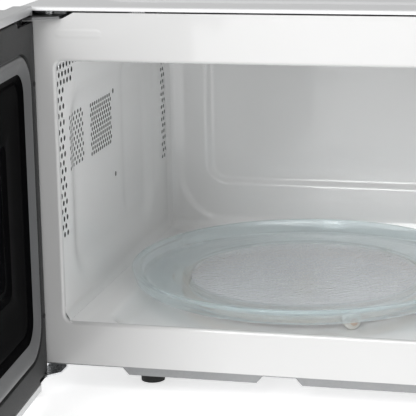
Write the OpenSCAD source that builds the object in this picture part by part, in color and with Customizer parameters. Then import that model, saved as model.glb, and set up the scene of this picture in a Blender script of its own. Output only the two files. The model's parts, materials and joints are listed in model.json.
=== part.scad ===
// Countertop microwave oven with a side-hinged door, drawn with the door open.
// Frame: X to the right, Y to the back, Z up. The origin is on the surface that
// the oven stands on, in the middle of its four feet. All sizes are millimetres.

/* [Cabinet] */
// Width of the cabinet across its side panels
cab_w = 484; // [480:1:496]
// Depth of the cabinet from the front plate to the rim behind the back panel
cab_d = 360; // [360:1:380]
// Height of the cabinet's top sheet above the surface it stands on
cab_h = 278; // [278:1:284]
// Thickness of the steel sheet of the cabinet and the cavity
sheet = 0.8; // [0.6:0.1:1.0]
// Height of the cabinet's base above the surface it stands on
base_z = 19.5; // [18:0.5:20]
// Diameter of a foot
foot_d = 17.5; // [14:0.5:18]

/* [Cavity] */
// Width of the oven cavity
cav_w = 297; // [290:1:298]
// Height of the front opening
cav_h = 189; // [180:1:190]
// Depth of the oven cavity
cav_d = 294.5; // [290:0.5:300]
// Height of the opening's lower edge above the surface
cav_z = 51; // [50:0.5:52]
// Distance from the cabinet's left side to the middle of the cavity
cav_from_left = 174.5; // [172:0.5:176]
// Diameter of the holes in the cavity walls
vent_d = 2.8; // [2:0.1:3]

/* [Turntable] */
// Diameter of the glass plate
plate_d = 270; // [264:1:272]
// Radius of the flat disc in the middle of the plate
disc_r = 91; // [85:1:92]
// Diameter of a roller
roller_d = 13.2; // [12:0.1:13.2]
// Radius of the circle that the rollers run on
track_r = 101; // [100:0.5:102]

/* [Door] */
// Angle by which the door stands open
door_open = 86; // [0:1:95]
// Thickness of the door
door_t = 37; // [34:1:40]
// Width of the door
door_w = 344.5; // [340:0.5:345]
// Height of the door's lower edge above the surface
door_z = 4.5; // [4:0.5:6]
// Distance from the hinge line to the door's side edge
hinge_in = 6.2; // [6:0.1:7]
// Distance from the hinge line to the door's inner face
hinge_back = 6.6; // [6.4:0.1:7]
// Radius of the hinge pins
pin_r = 2; // [1.8:0.1:2.2]

/* [Controls] */
// Diameter of the dial
dial_d = 46; // [40:1:50]
// Travel of a key
key_travel = 1.5; // [1:0.1:2]
// Travel of the door release button
release_travel = 6; // [5:0.5:6]

/* [Hidden] */
$fn = 64;

// Cabinet planes
half_w = cab_w / 2;
front_y = -cab_d / 2;
back_y = cab_d / 2;
corner_r = 2.5;
hem = 2;
flange_top = cab_h - 3.1;
rear_y = back_y - 2.8;
foot_x = 160.5;
foot_y = 147;

// Cavity planes
cav_cx = cav_from_left - half_w;
cav_x0 = cav_cx - cav_w / 2;
cav_x1 = cav_cx + cav_w / 2;
cav_y0 = front_y + sheet;
cav_y1 = front_y + cav_d;
cav_top = cav_z + cav_h;
floor_z = cav_z - 3;
pan_z = cav_z - 12;
opening_r = 9;
wall_low = floor_z - sheet;
wall_high = cav_top + sheet;
wall_deep = cav_y1 + sheet;

// Turntable
hub_y = front_y + 146;
plate_r = plate_d / 2;
roller_gap = 0.1;
roller_z = pan_z + roller_gap + roller_d / 2;
plate_z = roller_z + roller_d / 2 + 0.15;
disc_low = cav_z - 2;
disc_high = cav_z + 3.5;
rim_z = cav_z + 13.7;
coupler_arm = 8;

// Door, in its closed place
door_x0 = -half_w;
door_x1 = door_x0 + door_w;
door_gap = 1;
door_back = front_y - door_gap;
door_front = door_back - door_t;
door_top = cab_h + 1;
hinge_x = door_x0 + hinge_in;
hinge_y = door_back - hinge_back;
lip_y = door_back - 13.5;
lip_step = 2.5;
cover_x0 = door_x0 + 1.5;
cover_x1 = door_x1 - 1.5;
cover_z0 = cav_z - 40.5;
cover_z1 = cav_z + 221;
arm_z = cav_z + 219.2;
arm_t = 1.5;
plate_hinge_z = cav_z - 38.7;
pin_gap = 0.05;
edge_r = 7.4;
skin_x0 = door_x0 + 0.6;

// Latch, in the closed door's place
hook_x = 92;
hook_t = 4;
hook_low = cav_z + 27;
hook_high = cav_z + 171;
hook_reach = front_y + 30;
hook_lift = 5;
lever_y = front_y + 8;
lever_z = hook_low - 10;
ledge_x1 = 96;
spring_x = hook_x - 5.5;
spring_low = cav_z + 93.2;
spring_high = cav_z + 116.8;
rod_x0 = 113;
rod_z0 = 46;
rod_h = 4;

// Controls
panel_x0 = door_x1 + 1;
panel_cx = (panel_x0 + half_w) / 2;
panel_front = door_front;
dial_z = 106;
key_w = 44;
key_h = 13;
key_pitch = 21;
key_top = 204;
release_w = 96;
release_h = 26;
release_z = 40;

// Rounded rectangle, centred
module rrect(w, h, r) {
    square([w - 2 * r, h], center = true);
    square([w, h - 2 * r], center = true);
    for (sx = [-1, 1], sy = [-1, 1]) {
        translate([sx * (w / 2 - r), sy * (h / 2 - r)]) circle(r = r);
    }
}

// Rounded rectangle between two corners
module rbox2(x0, y0, x1, y1, r) {
    translate([(x0 + x1) / 2, (y0 + y1) / 2]) rrect(x1 - x0, y1 - y0, r);
}

// Box between two corners
module box3(a, b) {
    translate(a) cube([b[0] - a[0], b[1] - a[1], b[2] - a[2]]);
}

// A plate of an XZ outline from y0, t thick towards the back
module plate_y(y0, t) {
    translate([0, y0 + t, 0]) rotate([90, 0, 0]) linear_extrude(t) children();
}

// A plate of a YZ outline from x0, t thick to the right
module plate_x(x0, t) {
    translate([x0, 0, 0]) rotate([90, 0, 90]) linear_extrude(t) children();
}

// A plate of an XY outline from z0, t thick upwards
module plate_z(z0, t) {
    translate([0, 0, z0]) linear_extrude(t) children();
}

module rod_y(x, y0, z, r, l) {
    translate([x, y0, z]) rotate([-90, 0, 0]) cylinder(r = r, h = l);
}

module rod_x(x0, y, z, r, l) {
    translate([x0, y, z]) rotate([0, 90, 0]) cylinder(r = r, h = l);
}

module rod_z(x, y, z0, r, l) {
    translate([x, y, z0]) cylinder(r = r, h = l);
}

// Pressed recess: a rounded rectangle w x h that narrows by slope over the depth
module pressed(w, h, r, slope, depth) {
    thin = 0.01;
    hull() {
        linear_extrude(thin) rrect(w, h, r, $fn = 32);
        translate([0, 0, depth - thin]) {
            linear_extrude(thin) rrect(w - 2 * slope, h - 2 * slope, r - slope / 2, $fn = 32);
        }
    }
}

// Turns a piece of the closed door open about the hinge line
module door_pose() {
    translate([hinge_x, hinge_y, 0]) rotate([0, 0, -door_open]) translate([-hinge_x, -hinge_y, 0]) children();
}

// ---- Cabinet ----

// Outline of the wrap-around cabinet, inset by d
module wrap_outline(d) {
    r = corner_r - d / 2;
    rbox2(-half_w + d, base_z + 20, half_w - d, cab_h - d, r);
    translate([-half_w + d, base_z - 1.5]) square([cab_w - 2 * d, 60]);
}

module wrap_shell(d, y0, y1) {
    plate_y(y0, y1 - y0) {
        difference() {
            wrap_outline(0);
            translate([0, -0.01]) wrap_outline(d);
            translate([-half_w - 1, base_z - 3]) square([cab_w + 2, 1.51]);
        }
    }
}

module side_vents(x, y0, z0, columns, rows) {
    for (i = [0:columns - 1], j = [0:rows - 1]) {
        translate([x - 2, y0 + i * 7, z0 + j * 24]) cube([4, 3, 17]);
    }
}

module outer_cabinet() {
    pad_x0 = cav_cx - 124;
    color("silver") difference() {
        union() {
            wrap_shell(sheet, front_y, back_y);
            wrap_shell(hem, front_y, front_y + 1.2);
            translate([(pad_x0 + half_w - 50) / 2, 8, cab_h - 0.01]) {
                pressed(half_w - 50 - pad_x0, cab_d - 58, 22, 5, 1.5);
            }
        }
        side_vents(half_w, 60, 150, 12, 3);
        side_vents(-half_w, 70, 200, 10, 2);
    }
}

// Outline of the front plate, with the cut for the top hinge
module flange_outline() {
    notch_x = cav_cx - 168;
    difference() {
        translate([-half_w + hem, base_z]) square([cab_w - 2 * hem, flange_top - base_z]);
        polygon([[notch_x, flange_top - 5.1], [notch_x + 26, flange_top - 5.1],
            [notch_x + 33.5, flange_top + 1], [notch_x, flange_top + 1]]);
    }
}

module flange_return(z) {
    box3([-half_w + hem, front_y, z], [half_w - hem, front_y + 9, z + sheet]);
}

module front_flange() {
    color("white") {
        difference() {
            union() {
                plate_y(front_y, sheet) flange_outline();
                flange_return(base_z);
                difference() {
                    flange_return(flange_top - sheet);
                    box3([-half_w, front_y - 1, flange_top - 6], [cav_cx - 134, front_y + 12, flange_top + 1]);
                }
                // Shallow raised pad beside the top hinge
                plate_y(front_y - 0.5, 0.6) {
                    rbox2(cav_cx - 148, cav_z + 204.8, cav_cx - 114.5, cav_z + 212, 1.6);
                }
            }
            plate_y(front_y - 1, 4) {
                rbox2(cav_x0, cav_z, cav_x1, cav_top, opening_r);
                // Slots for the door's hooks, the release rod and the panel's wires
                for (z = [hook_low, hook_high]) rbox2(hook_x - 3, z - 6, hook_x + 5.5, z + 15, 1);
                rbox2(rod_x0 - 1.5, rod_z0 - 1.5, rod_x0 + 9.5, rod_z0 + rod_h + 1.5, 1);
                rbox2(150, 120, 225, 230, 6);
                translate([125, 250]) circle(r = 2);
                translate([225, 60]) circle(r = 2);
            }
        }
    }
}

// ---- Cavity ----

// A staggered grid of holes in a YZ outline
module hole_grid(y0, z0, columns, rows, dy, dz) {
    for (j = [0:rows - 1], i = [0:columns - 1]) {
        translate([y0 + i * dy + (j % 2) * dy / 2, z0 - j * dz]) circle(d = vent_d, $fn = 24);
    }
}

// Hole pattern of the left wall: two strips, a cluster above and two patches
module left_wall_holes() {
    strip_z = cav_z + 183.7;
    translate([front_y, 0]) {
        hole_grid(3, strip_z, 2, 22, 7.05, 5.76);
        for (i = [2:6]) translate([3 + i * 7.05, strip_z]) circle(d = vent_d, $fn = 24);
        for (i = [2:4]) translate([6.5 + i * 7.05, strip_z - 5.76]) circle(d = vent_d, $fn = 24);
        for (i = [2:4]) translate([3 + i * 7.05, strip_z - 11.52]) circle(d = vent_d, $fn = 24);
        hole_grid(272.7, strip_z, 2, 23, 10, 5.4);
        hole_grid(28.4, cav_z + 144, 6, 11, 5.46, 3.73);
        hole_grid(77.6, cav_z + 142.7, 10, 11, 5.3, 3.7);
        translate([134.7, cav_z + 144.1]) circle(d = vent_d, $fn = 24);
        translate([135.7, cav_z + 77.8]) circle(d = vent_d, $fn = 24);
    }
}

// A side wall's sheet with its pressed panel, on the side that faces x
module side_wall(x, side) {
    depth = 3;
    panel_w = 212;
    panel_h = 132;
    y = front_y + 27.5 + panel_w / 2;
    z = cav_z + 20 + panel_h / 2;
    turn = side * 90;
    difference() {
        union() {
            translate([x - (side < 0 ? sheet : 0), 0, 0]) {
                plate_x(0, sheet) {
                    translate([cav_y0, wall_low]) square([wall_deep - cav_y0, wall_high - wall_low]);
                }
            }
            translate([x, y, z]) rotate([0, turn, 0]) pressed(panel_h + 1.2, panel_w + 1.2, 30, 14, depth + sheet);
        }
        translate([x - side * 0.01, y, z]) rotate([0, turn, 0]) pressed(panel_h, panel_w, 30, 14, depth);
    }
}

module cavity_left_wall() {
    color("gainsboro") difference() {
        side_wall(cav_x0, -1);
        plate_x(cav_x0 - 6, 8) left_wall_holes();
    }
}

module cavity_right_wall() {
    color("gainsboro") difference() {
        side_wall(cav_x1, 1);
        plate_x(cav_x1 - 2, 8) {
            hole_grid(front_y + 3, cav_z + 183.7, 2, 22, 7.05, 5.76);
            hole_grid(78, 216, 5, 6, 5.46, 3.73);
            rbox2(-66, cav_z + 83, -6, cav_z + 131, 3);
        }
    }
}

module cavity_ceiling() {
    color("gainsboro") plate_z(cav_top, sheet) {
        translate([cav_x0, cav_y0]) square([cav_w, cav_y1 - cav_y0]);
    }
}

module cavity_back_wall() {
    depth = 6;
    panel_w = 230;
    panel_h = 138;
    z = cav_z + 38 + panel_h / 2;
    color("gainsboro") difference() {
        union() {
            plate_y(cav_y1, sheet) translate([cav_x0, wall_low]) square([cav_w, wall_high - wall_low]);
            translate([cav_cx, cav_y1, z]) rotate([-90, 0, 0]) pressed(panel_w + 1.2, panel_h + 1.2, 18, 7, depth + sheet);
        }
        translate([cav_cx, cav_y1 - 0.01, z]) rotate([-90, 0, 0]) pressed(panel_w, panel_h, 18, 7, depth);
    }
}

module cavity_floor() {
    pan_w = 244;
    pan_l = 276;
    depth = floor_z - pan_z;
    color("gainsboro") difference() {
        union() {
            plate_z(floor_z - sheet, sheet) translate([cav_x0, cav_y0]) square([cav_w, cav_y1 - cav_y0]);
            translate([cav_cx, hub_y, floor_z]) mirror([0, 0, 1]) pressed(pan_w + 1.2, pan_l + 1.2, 26, 9, depth + sheet);
        }
        translate([cav_cx, hub_y, floor_z + 0.01]) mirror([0, 0, 1]) pressed(pan_w, pan_l, 26, 9, depth + 0.01);
        rod_z(cav_cx, hub_y, pan_z - 3, 9, 6);
    }
}

// ---- Base, back and feet ----

// Stiffening ridge pressed down from the base, along X
module base_ridge(x0, x1, y) {
    drop = 6.7;
    top = base_z - sheet;
    translate([0, y + 6, 0]) rotate([90, 0, 0]) linear_extrude(12) {
        polygon([[x0, top], [x1, top], [x1 - 6, top - drop], [x0 + 6, top - drop]]);
    }
}

module base_plate() {
    color("darkgray") difference() {
        union() {
            plate_z(base_z - sheet, sheet) {
                translate([-half_w + hem, front_y + sheet]) square([cab_w - 2 * hem, rear_y - front_y - sheet]);
            }
            base_ridge(cav_cx - 109, cav_cx - 3, front_y + 11);
            base_ridge(cav_cx + 18, cav_cx + 150, front_y + 11);
            base_ridge(-130, 130, 168);
        }
        // Air intake under the fan and the turntable motor's drain hole
        for (i = [0:9], j = [0:5]) rod_z(140 + i * 8, 84 + j * 8, base_z - 2, 2.2, 4);
        rod_z(cav_cx, hub_y + 60, base_z - 2, 4, 4);
        for (sx = [-1, 1], sy = [-1, 1]) rod_z(sx * foot_x, sy * foot_y, base_z - 2, 2.1, 4);
    }
}

module foot() {
    r = foot_d / 2;
    top = base_z - sheet;
    rotate_extrude() {
        polygon([[0, 0], [r, 0], [r, top], [2, top], [2, top + 3], [0, top + 3]]);
    }
}

module feet() {
    color("black") for (sx = [-1, 1], sy = [-1, 1]) translate([sx * foot_x, sy * foot_y, 0]) foot();
}

gland_x = 205;
gland_z = 46;
screw_r = 1.7;
rear_screws = [for (x = [-225, -60, 60, 225]) [x, 262], for (x = [-225, -60, 120, 225]) [x, 30]];

module rear_panel() {
    color("silver") plate_y(rear_y, sheet) {
        difference() {
            rbox2(-half_w + sheet, base_z - sheet, half_w - sheet, cab_h - sheet, corner_r - sheet / 2);
            for (i = [0:13], j = [0:5]) translate([fan_x - 46 + i * 7, fan_z - 46 + j * 17]) square([3.4, 12]);
            for (i = [0:19], j = [0:1]) translate([-200 + i * 8, 200 + j * 24]) square([3.4, 16]);
            translate([gland_x, gland_z]) circle(r = 8);
            for (p = rear_screws) translate(p) circle(r = screw_r);
        }
    }
}

module cord_gland() {
    color("dimgray") difference() {
        union() {
            rod_y(gland_x, rear_y - 6, gland_z, 8, 7);
            rod_y(gland_x, rear_y + sheet, gland_z, 11, 2);
            rod_y(gland_x, rear_y - 9, gland_z, 10, 3);
        }
        rod_y(gland_x, rear_y - 10, gland_z, 4, 14);
    }
}

module screw_y(x, y, z, dir) {
    translate([x, y, z]) rotate([dir * 90, 0, 0]) {
        difference() {
            union() {
                cylinder(r1 = 3.4, r2 = 2.6, h = 1.8, $fn = 32);
                translate([0, 0, -7]) cylinder(r = screw_r, h = 7);
            }
            for (a = [0, 90]) rotate([0, 0, a]) translate([-2, -0.4, 0.9]) cube([4, 0.8, 2]);
        }
    }
}

module screws() {
    color("lightgray") {
        for (p = rear_screws) screw_y(p[0], rear_y + sheet, p[1], -1);
        screw_y(cav_cx - 155, front_y + 12.5, cav_z + 222, 1);
    }
}

// ---- Microwave source, in the space to the right of the cavity ----

guide_t = 32;
guide_x = cav_x1 + 3.8;
guide_y0 = -72;
guide_y1 = 44;
guide_z0 = cav_z + 72;
guide_z1 = cav_z + 156;
mag_y = 4;
mag_z = (guide_z0 + guide_z1) / 2;
mag_x = guide_x + guide_t;

module waveguide_cover() {
    color("beige") plate_x(cav_x1 + 2.4, 0.5) rbox2(-70, cav_z + 79, -2, cav_z + 134.5, 4);
}

module waveguide() {
    t = 1;
    color("lightgray") difference() {
        union() {
            box3([guide_x, guide_y0, guide_z0], [mag_x, guide_y1, guide_z1]);
            box3([guide_x, guide_y0 - 10, guide_z0 - 10], [guide_x + t, guide_y1 + 10, guide_z1 + 10]);
        }
        box3([guide_x - 1, guide_y0 + t, guide_z0 + t], [mag_x - t, guide_y1 - t, guide_z1 - t]);
        rod_x(mag_x - 3, mag_y, mag_z, 14, 6);
    }
}

module magnetron() {
    l = 66;
    color("silver") {
        // Yoke: two plates with a bottom and a top, open front and back for the air
        difference() {
            box3([mag_x, mag_y - 46, mag_z - 40], [mag_x + l, mag_y + 46, mag_z + 40]);
            box3([mag_x + 2, mag_y - 47, mag_z - 38], [mag_x + l - 2, mag_y + 47, mag_z + 38]);
        }
        // Anode, its two ring magnets and the antenna with its cap
        rod_x(mag_x + 2, mag_y, mag_z, 19, l - 4);
        for (x = [mag_x + 2, mag_x + l - 14]) {
            difference() {
                rod_x(x, mag_y, mag_z, 28, 12);
                rod_x(x - 1, mag_y, mag_z, 19, 14);
            }
        }
        rod_x(mag_x - 16, mag_y, mag_z, 7.5, 16);
        // Filter box with its terminals
        difference() {
            box3([mag_x + l, mag_y - 26, mag_z - 30], [mag_x + l + 26, mag_y + 26, mag_z + 30]);
            box3([mag_x + l + 1, mag_y - 25, mag_z - 29], [mag_x + l + 25, mag_y + 25, mag_z + 29]);
        }
        for (z = [-8, 8]) box3([mag_x + l + 26, mag_y - 3, mag_z + z - 0.4], [mag_x + l + 34, mag_y + 3, mag_z + z + 0.4]);
    }
}

module magnetron_fins() {
    color("lightgray") for (i = [0:6]) {
        difference() {
            translate([mag_x + 16.5 + i * 5.4, mag_y - 44, mag_z - 37.5]) cube([0.6, 88, 75]);
            rod_x(mag_x + 14 + i * 5.4, mag_y, mag_z, 19, 6);
        }
    }
}

trans_x = 182;
trans_y = -96;

module transformer_core() {
    z0 = base_z;
    color("gray") {
        difference() {
            box3([trans_x - 46, trans_y - 30, z0 + 2], [trans_x + 46, trans_y + 30, z0 + 78]);
            box3([trans_x - 31, trans_y - 31, z0 + 17], [trans_x - 14, trans_y + 31, z0 + 63]);
            box3([trans_x + 14, trans_y - 31, z0 + 17], [trans_x + 31, trans_y + 31, z0 + 63]);
        }
        difference() {
            box3([trans_x - 46, trans_y - 46, z0], [trans_x + 46, trans_y + 46, z0 + 2]);
            for (sx = [-1, 1], sy = [-1, 1]) rod_z(trans_x + sx * 39, trans_y + sy * 39, z0 - 1, 2.5, 4);
        }
    }
}

module transformer_coils() {
    z0 = base_z;
    color("chocolate") for (z = [z0 + 18, z0 + 44]) {
        h = z > z0 + 30 ? 18 : 23;
        plate_z(z, h) {
            difference() {
                translate([trans_x, trans_y]) rrect(60, 92, 10);
                translate([trans_x, trans_y]) square([28.2, 60.2], center = true);
            }
        }
    }
}

module hv_capacitor() {
    x = 208;
    y = 62;
    color("silver") {
        plate_z(base_z + 4, 84) translate([x, y]) rrect(34, 54, 16.9);
        plate_z(base_z + 88, 3) translate([x, y]) rrect(30, 50, 14.9);
        for (s = [-1, 1]) box3([x - 3, y + s * 12 - 0.4, base_z + 91], [x + 3, y + s * 12 + 0.4, base_z + 99]);
        difference() {
            plate_z(base_z + 2, 12) translate([x, y]) rrect(38, 58, 18.9);
            plate_z(base_z + 1, 14) translate([x, y]) rrect(34.2, 54.2, 17);
        }
        box3([x - 30, y - 8, base_z], [x + 18, y + 8, base_z + 2]);
    }
}

module hv_diode() {
    color("black") {
        rod_y(168, 40, base_z + 10, 3.6, 16);
        rod_y(168, 28, base_z + 10, 0.7, 12);
        rod_y(168, 56, base_z + 10, 0.7, 12);
        difference() {
            box3([163, 24, base_z], [173, 28, base_z + 14]);
            rod_y(168, 22, base_z + 10, 0.7, 8);
        }
    }
}

module filter_board() {
    x0 = 92;
    z0 = 216;
    y = rear_y - 8;
    color("darkgreen") plate_y(y, 1.6) rbox2(x0, z0, x0 + 76, z0 + 42, 2);
    color("goldenrod") {
        difference() {
            rod_y(x0 + 20, y - 14, z0 + 22, 12, 14);
            rod_y(x0 + 20, y - 15, z0 + 22, 6, 16);
        }
        box3([x0 + 42, y - 12, z0 + 10], [x0 + 66, y, z0 + 20]);
        rod_x(x0 + 42, y - 4, z0 + 32, 3, 22);
        for (x = [x0 + 5, x0 + 71]) rod_y(x, y + 1.6, z0 + 5, 3, 6.4);
    }
}

// ---- Cooling fan ----

fan_x = 168;
fan_z = 146;
fan_y = 122;
fan_r = 52;

module fan_shroud() {
    color("dimgray") {
        difference() {
            union() {
                plate_y(fan_y, 2) rbox2(96, base_z, 239, 215, 4);
                rod_y(fan_x, fan_y - 8, fan_z, fan_r + 5, 26);
            }
            rod_y(fan_x, fan_y - 9, fan_z, fan_r + 3, 28);
        }
        // Four posts that carry the motor
        for (sx = [-1, 1], sz = [-1, 1]) {
            rod_y(fan_x + sx * 44, fan_y + 2, fan_z + sz * 44, 3.5, 28);
        }
    }
}

module fan_motor() {
    y = fan_y + 30;
    color("gray") difference() {
        union() {
            plate_y(y, 14) translate([fan_x, fan_z]) difference() {
                rrect(60, 50, 2);
                circle(r = 13.2);
            }
            for (sx = [-1, 1]) {
                plate_y(y, 2) rbox2(fan_x + sx * 38 - 13, fan_z - 48, fan_x + sx * 38 + 13, fan_z + 48, 3);
            }
            plate_y(y + 14, 2) rbox2(fan_x - 30, fan_z - 9, fan_x + 30, fan_z + 9, 4);
            plate_y(y - 2, 2) rbox2(fan_x - 30, fan_z - 9, fan_x + 30, fan_z + 9, 4);
        }
        rod_y(fan_x, y - 4, fan_z, 2.55, 24);
    }
}

module fan_blade() {
    blades = 7;
    color("whitesmoke") {
        difference() {
            rod_y(fan_x, fan_y - 4, fan_z, 13, 16);
            rod_y(fan_x, fan_y - 2, fan_z, 11, 16);
        }
        rod_y(fan_x, fan_y - 4, fan_z, 5, 14);
        intersection() {
            difference() {
                rod_y(fan_x, fan_y - 5, fan_z, fan_r, 18);
                rod_y(fan_x, fan_y - 6, fan_z, 12.5, 20);
            }
            for (i = [0:blades - 1]) {
                translate([fan_x, fan_y + 4, fan_z]) rotate([0, i * 360 / blades, 0]) {
                    rotate([0, 0, 28]) translate([-14, -0.9, 10]) cube([28, 1.8, 46]);
                }
            }
        }
        // Motor shaft with its rotor
        rod_y(fan_x, fan_y + 10, fan_z, 2.5, 38);
        rod_y(fan_x, fan_y + 31, fan_z, 12.6, 12);
    }
}

// ---- Turntable drive ----

shaft_r = 3;
motor_top = pan_z - sheet - 0.2;
motor_h = 14;

module turntable_motor() {
    color("silver") difference() {
        union() {
            rod_z(cav_cx, hub_y, motor_top - motor_h, 24.5, motor_h);
            plate_z(motor_top - 1.5, 1.5) translate([cav_cx, hub_y]) rrect(66, 16, 7);
            plate_z(motor_top - motor_h, 8) translate([cav_cx, hub_y - 26]) square([18, 12], center = true);
        }
        rod_z(cav_cx, hub_y, motor_top - 9, shaft_r + 0.05, 10);
        for (s = [-1, 1]) rod_z(cav_cx + s * 28, hub_y, motor_top - 3, 1.8, 4);
    }
}

module drive_shaft() {
    top = disc_low - 2.5;
    color("ivory") difference() {
        rod_z(cav_cx, hub_y, motor_top - 8, shaft_r, top - motor_top + 8);
        box3([cav_cx + 2, hub_y - 4, motor_top + 0.2], [cav_cx + 4, hub_y + 4, top + 1]);
    }
}

module turntable_coupler() {
    z0 = pan_z - 0.3;
    top = disc_low - 0.6;
    color("ivory") translate([cav_cx, hub_y, 0]) difference() {
        union() {
            rod_z(0, 0, z0, 8.4, top - z0 - 1.5);
            for (a = [90, 210, 330]) rotate([0, 0, a]) {
                box3([0, -coupler_arm / 2, top - 6], [19, coupler_arm / 2, top]);
                rod_z(19, 0, top - 6, coupler_arm / 2, 6);
            }
        }
        difference() {
            rod_z(0, 0, z0 - 1, shaft_r + 0.05, disc_low - 2.4 - z0 + 1);
            box3([2.05, -4, z0 - 2], [4, 4, top]);
        }
    }
}

module glass_plate() {
    low = plate_z;
    color("lightcyan") translate([cav_cx, hub_y, 0]) {
        rotate_extrude($fn = 128) {
            polygon([[0, disc_low], [disc_r, disc_low], [disc_r + 3, low], [plate_r - 4.5, low], [plate_r - 3, low + 0.8],
                [plate_r, rim_z - 1.2], [plate_r - 0.8, rim_z], [plate_r - 2.6, rim_z], [plate_r - 4, rim_z - 1.5],
                [plate_r - 8.5, low + 4.6], [disc_r + 2, low + 4], [disc_r - 1, disc_high], [0, disc_high]]);
        }
        // Three pairs of lugs that the coupler's arms turn
        for (a = [90, 210, 330], s = [-1, 1]) rotate([0, 0, a]) {
            translate([15.5, s * (coupler_arm / 2 + 0.6 + 2) - 2, disc_low - 5]) cube([9, 4, 5.5]);
        }
    }
}

axle_r = 2;

module roller_ring() {
    h = 4.4;
    color("wheat") translate([cav_cx, hub_y, 0]) {
        difference() {
            rod_z(0, 0, roller_z - h / 2, track_r - 4.5, h, $fn = 128);
            rod_z(0, 0, roller_z - h / 2 - 1, track_r - 9.5, h + 2, $fn = 128);
        }
        for (a = [60, 180, 300]) rotate([0, 0, a]) {
            rod_x(track_r - 5.5, 0, roller_z, axle_r, 11);
            rod_x(track_r + 4.2, 0, roller_z, axle_r + 0.8, 1.3);
        }
    }
}

module roller(a) {
    w = 7;
    color("whitesmoke") translate([cav_cx, hub_y, roller_z]) rotate([0, 0, a]) {
        translate([track_r - 3.8, 0, 0]) rotate([0, 90, 0]) rotate_extrude() {
            r = roller_d / 2;
            polygon([[axle_r + 0.06, 0], [r - 0.8, 0], [r, 0.8], [r, w - 0.8], [r - 0.8, w], [axle_r + 0.06, w]]);
        }
    }
}

module roller_a() {
    roller(300);
}

module roller_b() {
    roller(60);
}

module roller_c() {
    roller(180);
}

// ---- Lamp and thermal cut-outs ----

lamp_y = 90;
lamp_z = 207;

module oven_lamp() {
    x = cav_x1 + 20;
    color("lightyellow") {
        rod_x(x - 9, lamp_y, lamp_z, 6.5, 2);
        rod_x(x - 7, lamp_y, lamp_z, 8.5, 14);
        rod_x(x, lamp_y, lamp_z, 6, 18);
    }
}

module lamp_socket() {
    x = cav_x1 + 20 + 10;
    color("ivory") {
        difference() {
            rod_x(x, lamp_y, lamp_z, 9, 16);
            rod_x(x - 1, lamp_y, lamp_z, 6, 9);
        }
        box3([x + 16, lamp_y - 10, lamp_z - 12], [x + 17, lamp_y + 10, lamp_z + 14]);
        box3([cav_x1 + 1, lamp_y - 10, lamp_z + 13], [x + 16, lamp_y + 10, lamp_z + 14]);
    }
}

module thermal_cutout(x, y, z) {
    rod_z(x, y, z, 8, 7);
    plate_z(z, 1) translate([x, y]) rrect(24, 12, 4);
    for (s = [-1, 1]) box3([x - 2.4, y + s * 4 - 0.4, z + 7], [x + 2.4, y + s * 4 + 0.4, z + 14]);
}

module thermal_cutouts() {
    color("dimgray") {
        thermal_cutout(cav_cx + 90, 20, wall_high);
        thermal_cutout(mag_x + 20, mag_y, mag_z + 40);
    }
}

// ---- Control panel ----

function key_x(i) = panel_cx + (i % 2 == 0 ? -1 : 1) * (key_w / 2 + 4);
function key_z(i) = key_top - floor(i / 2) * key_pitch;

module control_panel() {
    wall = 2.5;
    color("silver") difference() {
        union() {
            plate_y(panel_front, lip_y - panel_front) rbox2(panel_x0, door_z, half_w, door_top - lip_step, 6);
            plate_y(lip_y, front_y - lip_y) rbox2(panel_x0 + 1.5, door_z, half_w - 0.01, door_top, 5);
        }
        plate_y(panel_front + wall, door_t + 6) rbox2(panel_x0 + 4, door_z + wall, half_w - 4, door_top - 4, 4);
        plate_y(panel_front - 1, 6) {
            rbox2(panel_cx - 47, 222, panel_cx + 47, 258, 3);
            for (i = [0:5]) translate([key_x(i), key_z(i)]) rrect(key_w + 0.8, key_h + 0.8, 3.4);
            translate([panel_cx, dial_z]) circle(r = 5.5);
            translate([panel_cx, release_z]) rrect(release_w + 1, release_h + 1, 5.5);
        }
        // Shallow dish around the dial
        rod_y(panel_cx, panel_front - 1, dial_z, dial_d / 2 + 2.5, 2.2);
    }
}

module display_window() {
    color([0.05, 0.06, 0.07]) {
        plate_y(panel_front + 0.4, 2.1) rbox2(panel_cx - 46.8, 222.2, panel_cx + 46.8, 257.8, 2.8);
        plate_y(panel_front + 2.5, 1.2) rbox2(panel_cx - 50, 219, panel_cx + 50, 261, 4);
    }
}

board_y = panel_front + 17;

module control_board() {
    color("darkgreen") difference() {
        plate_y(board_y, 1.6) rbox2(panel_x0 + 8, 84, half_w - 8, 264, 3);
        plate_y(board_y - 1, 4) translate([panel_cx, dial_z]) rrect(15, 15, 1);
    }
    color("gray") {
        // Display module, key switches, relays and the small transformer
        box3([panel_cx - 42, board_y - 11, 224], [panel_cx + 42, board_y, 256]);
        for (i = [0:5]) {
            box3([key_x(i) - 3, board_y - 6.2, key_z(i) - 3], [key_x(i) + 3, board_y, key_z(i) + 3]);
        }
        for (z = [112, 134]) box3([panel_x0 + 14, board_y + 1.6, z], [panel_x0 + 33, board_y + 16, z + 16]);
        box3([half_w - 46, board_y + 1.6, 160], [half_w - 14, board_y + 18, 190]);
        for (z = [200, 250]) rod_y(half_w - 26, board_y + 1.6, z, 5, 12);
        // Posts that hold the board on the panel
        for (x = [panel_x0 + 13, half_w - 13], z = [92, 214]) rod_y(x, panel_front + 2.5, z, 2.6, board_y - panel_front - 2.5);
    }
}

module dial_encoder() {
    color("dimgray") difference() {
        union() {
            box3([panel_cx - 7, board_y - 4, dial_z - 7], [panel_cx + 7, board_y + 3, dial_z + 7]);
            rod_y(panel_cx, board_y - 12, dial_z, 4.5, 8);
        }
        rod_y(panel_cx, board_y - 13, dial_z, 3.05, 13);
    }
}

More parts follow.
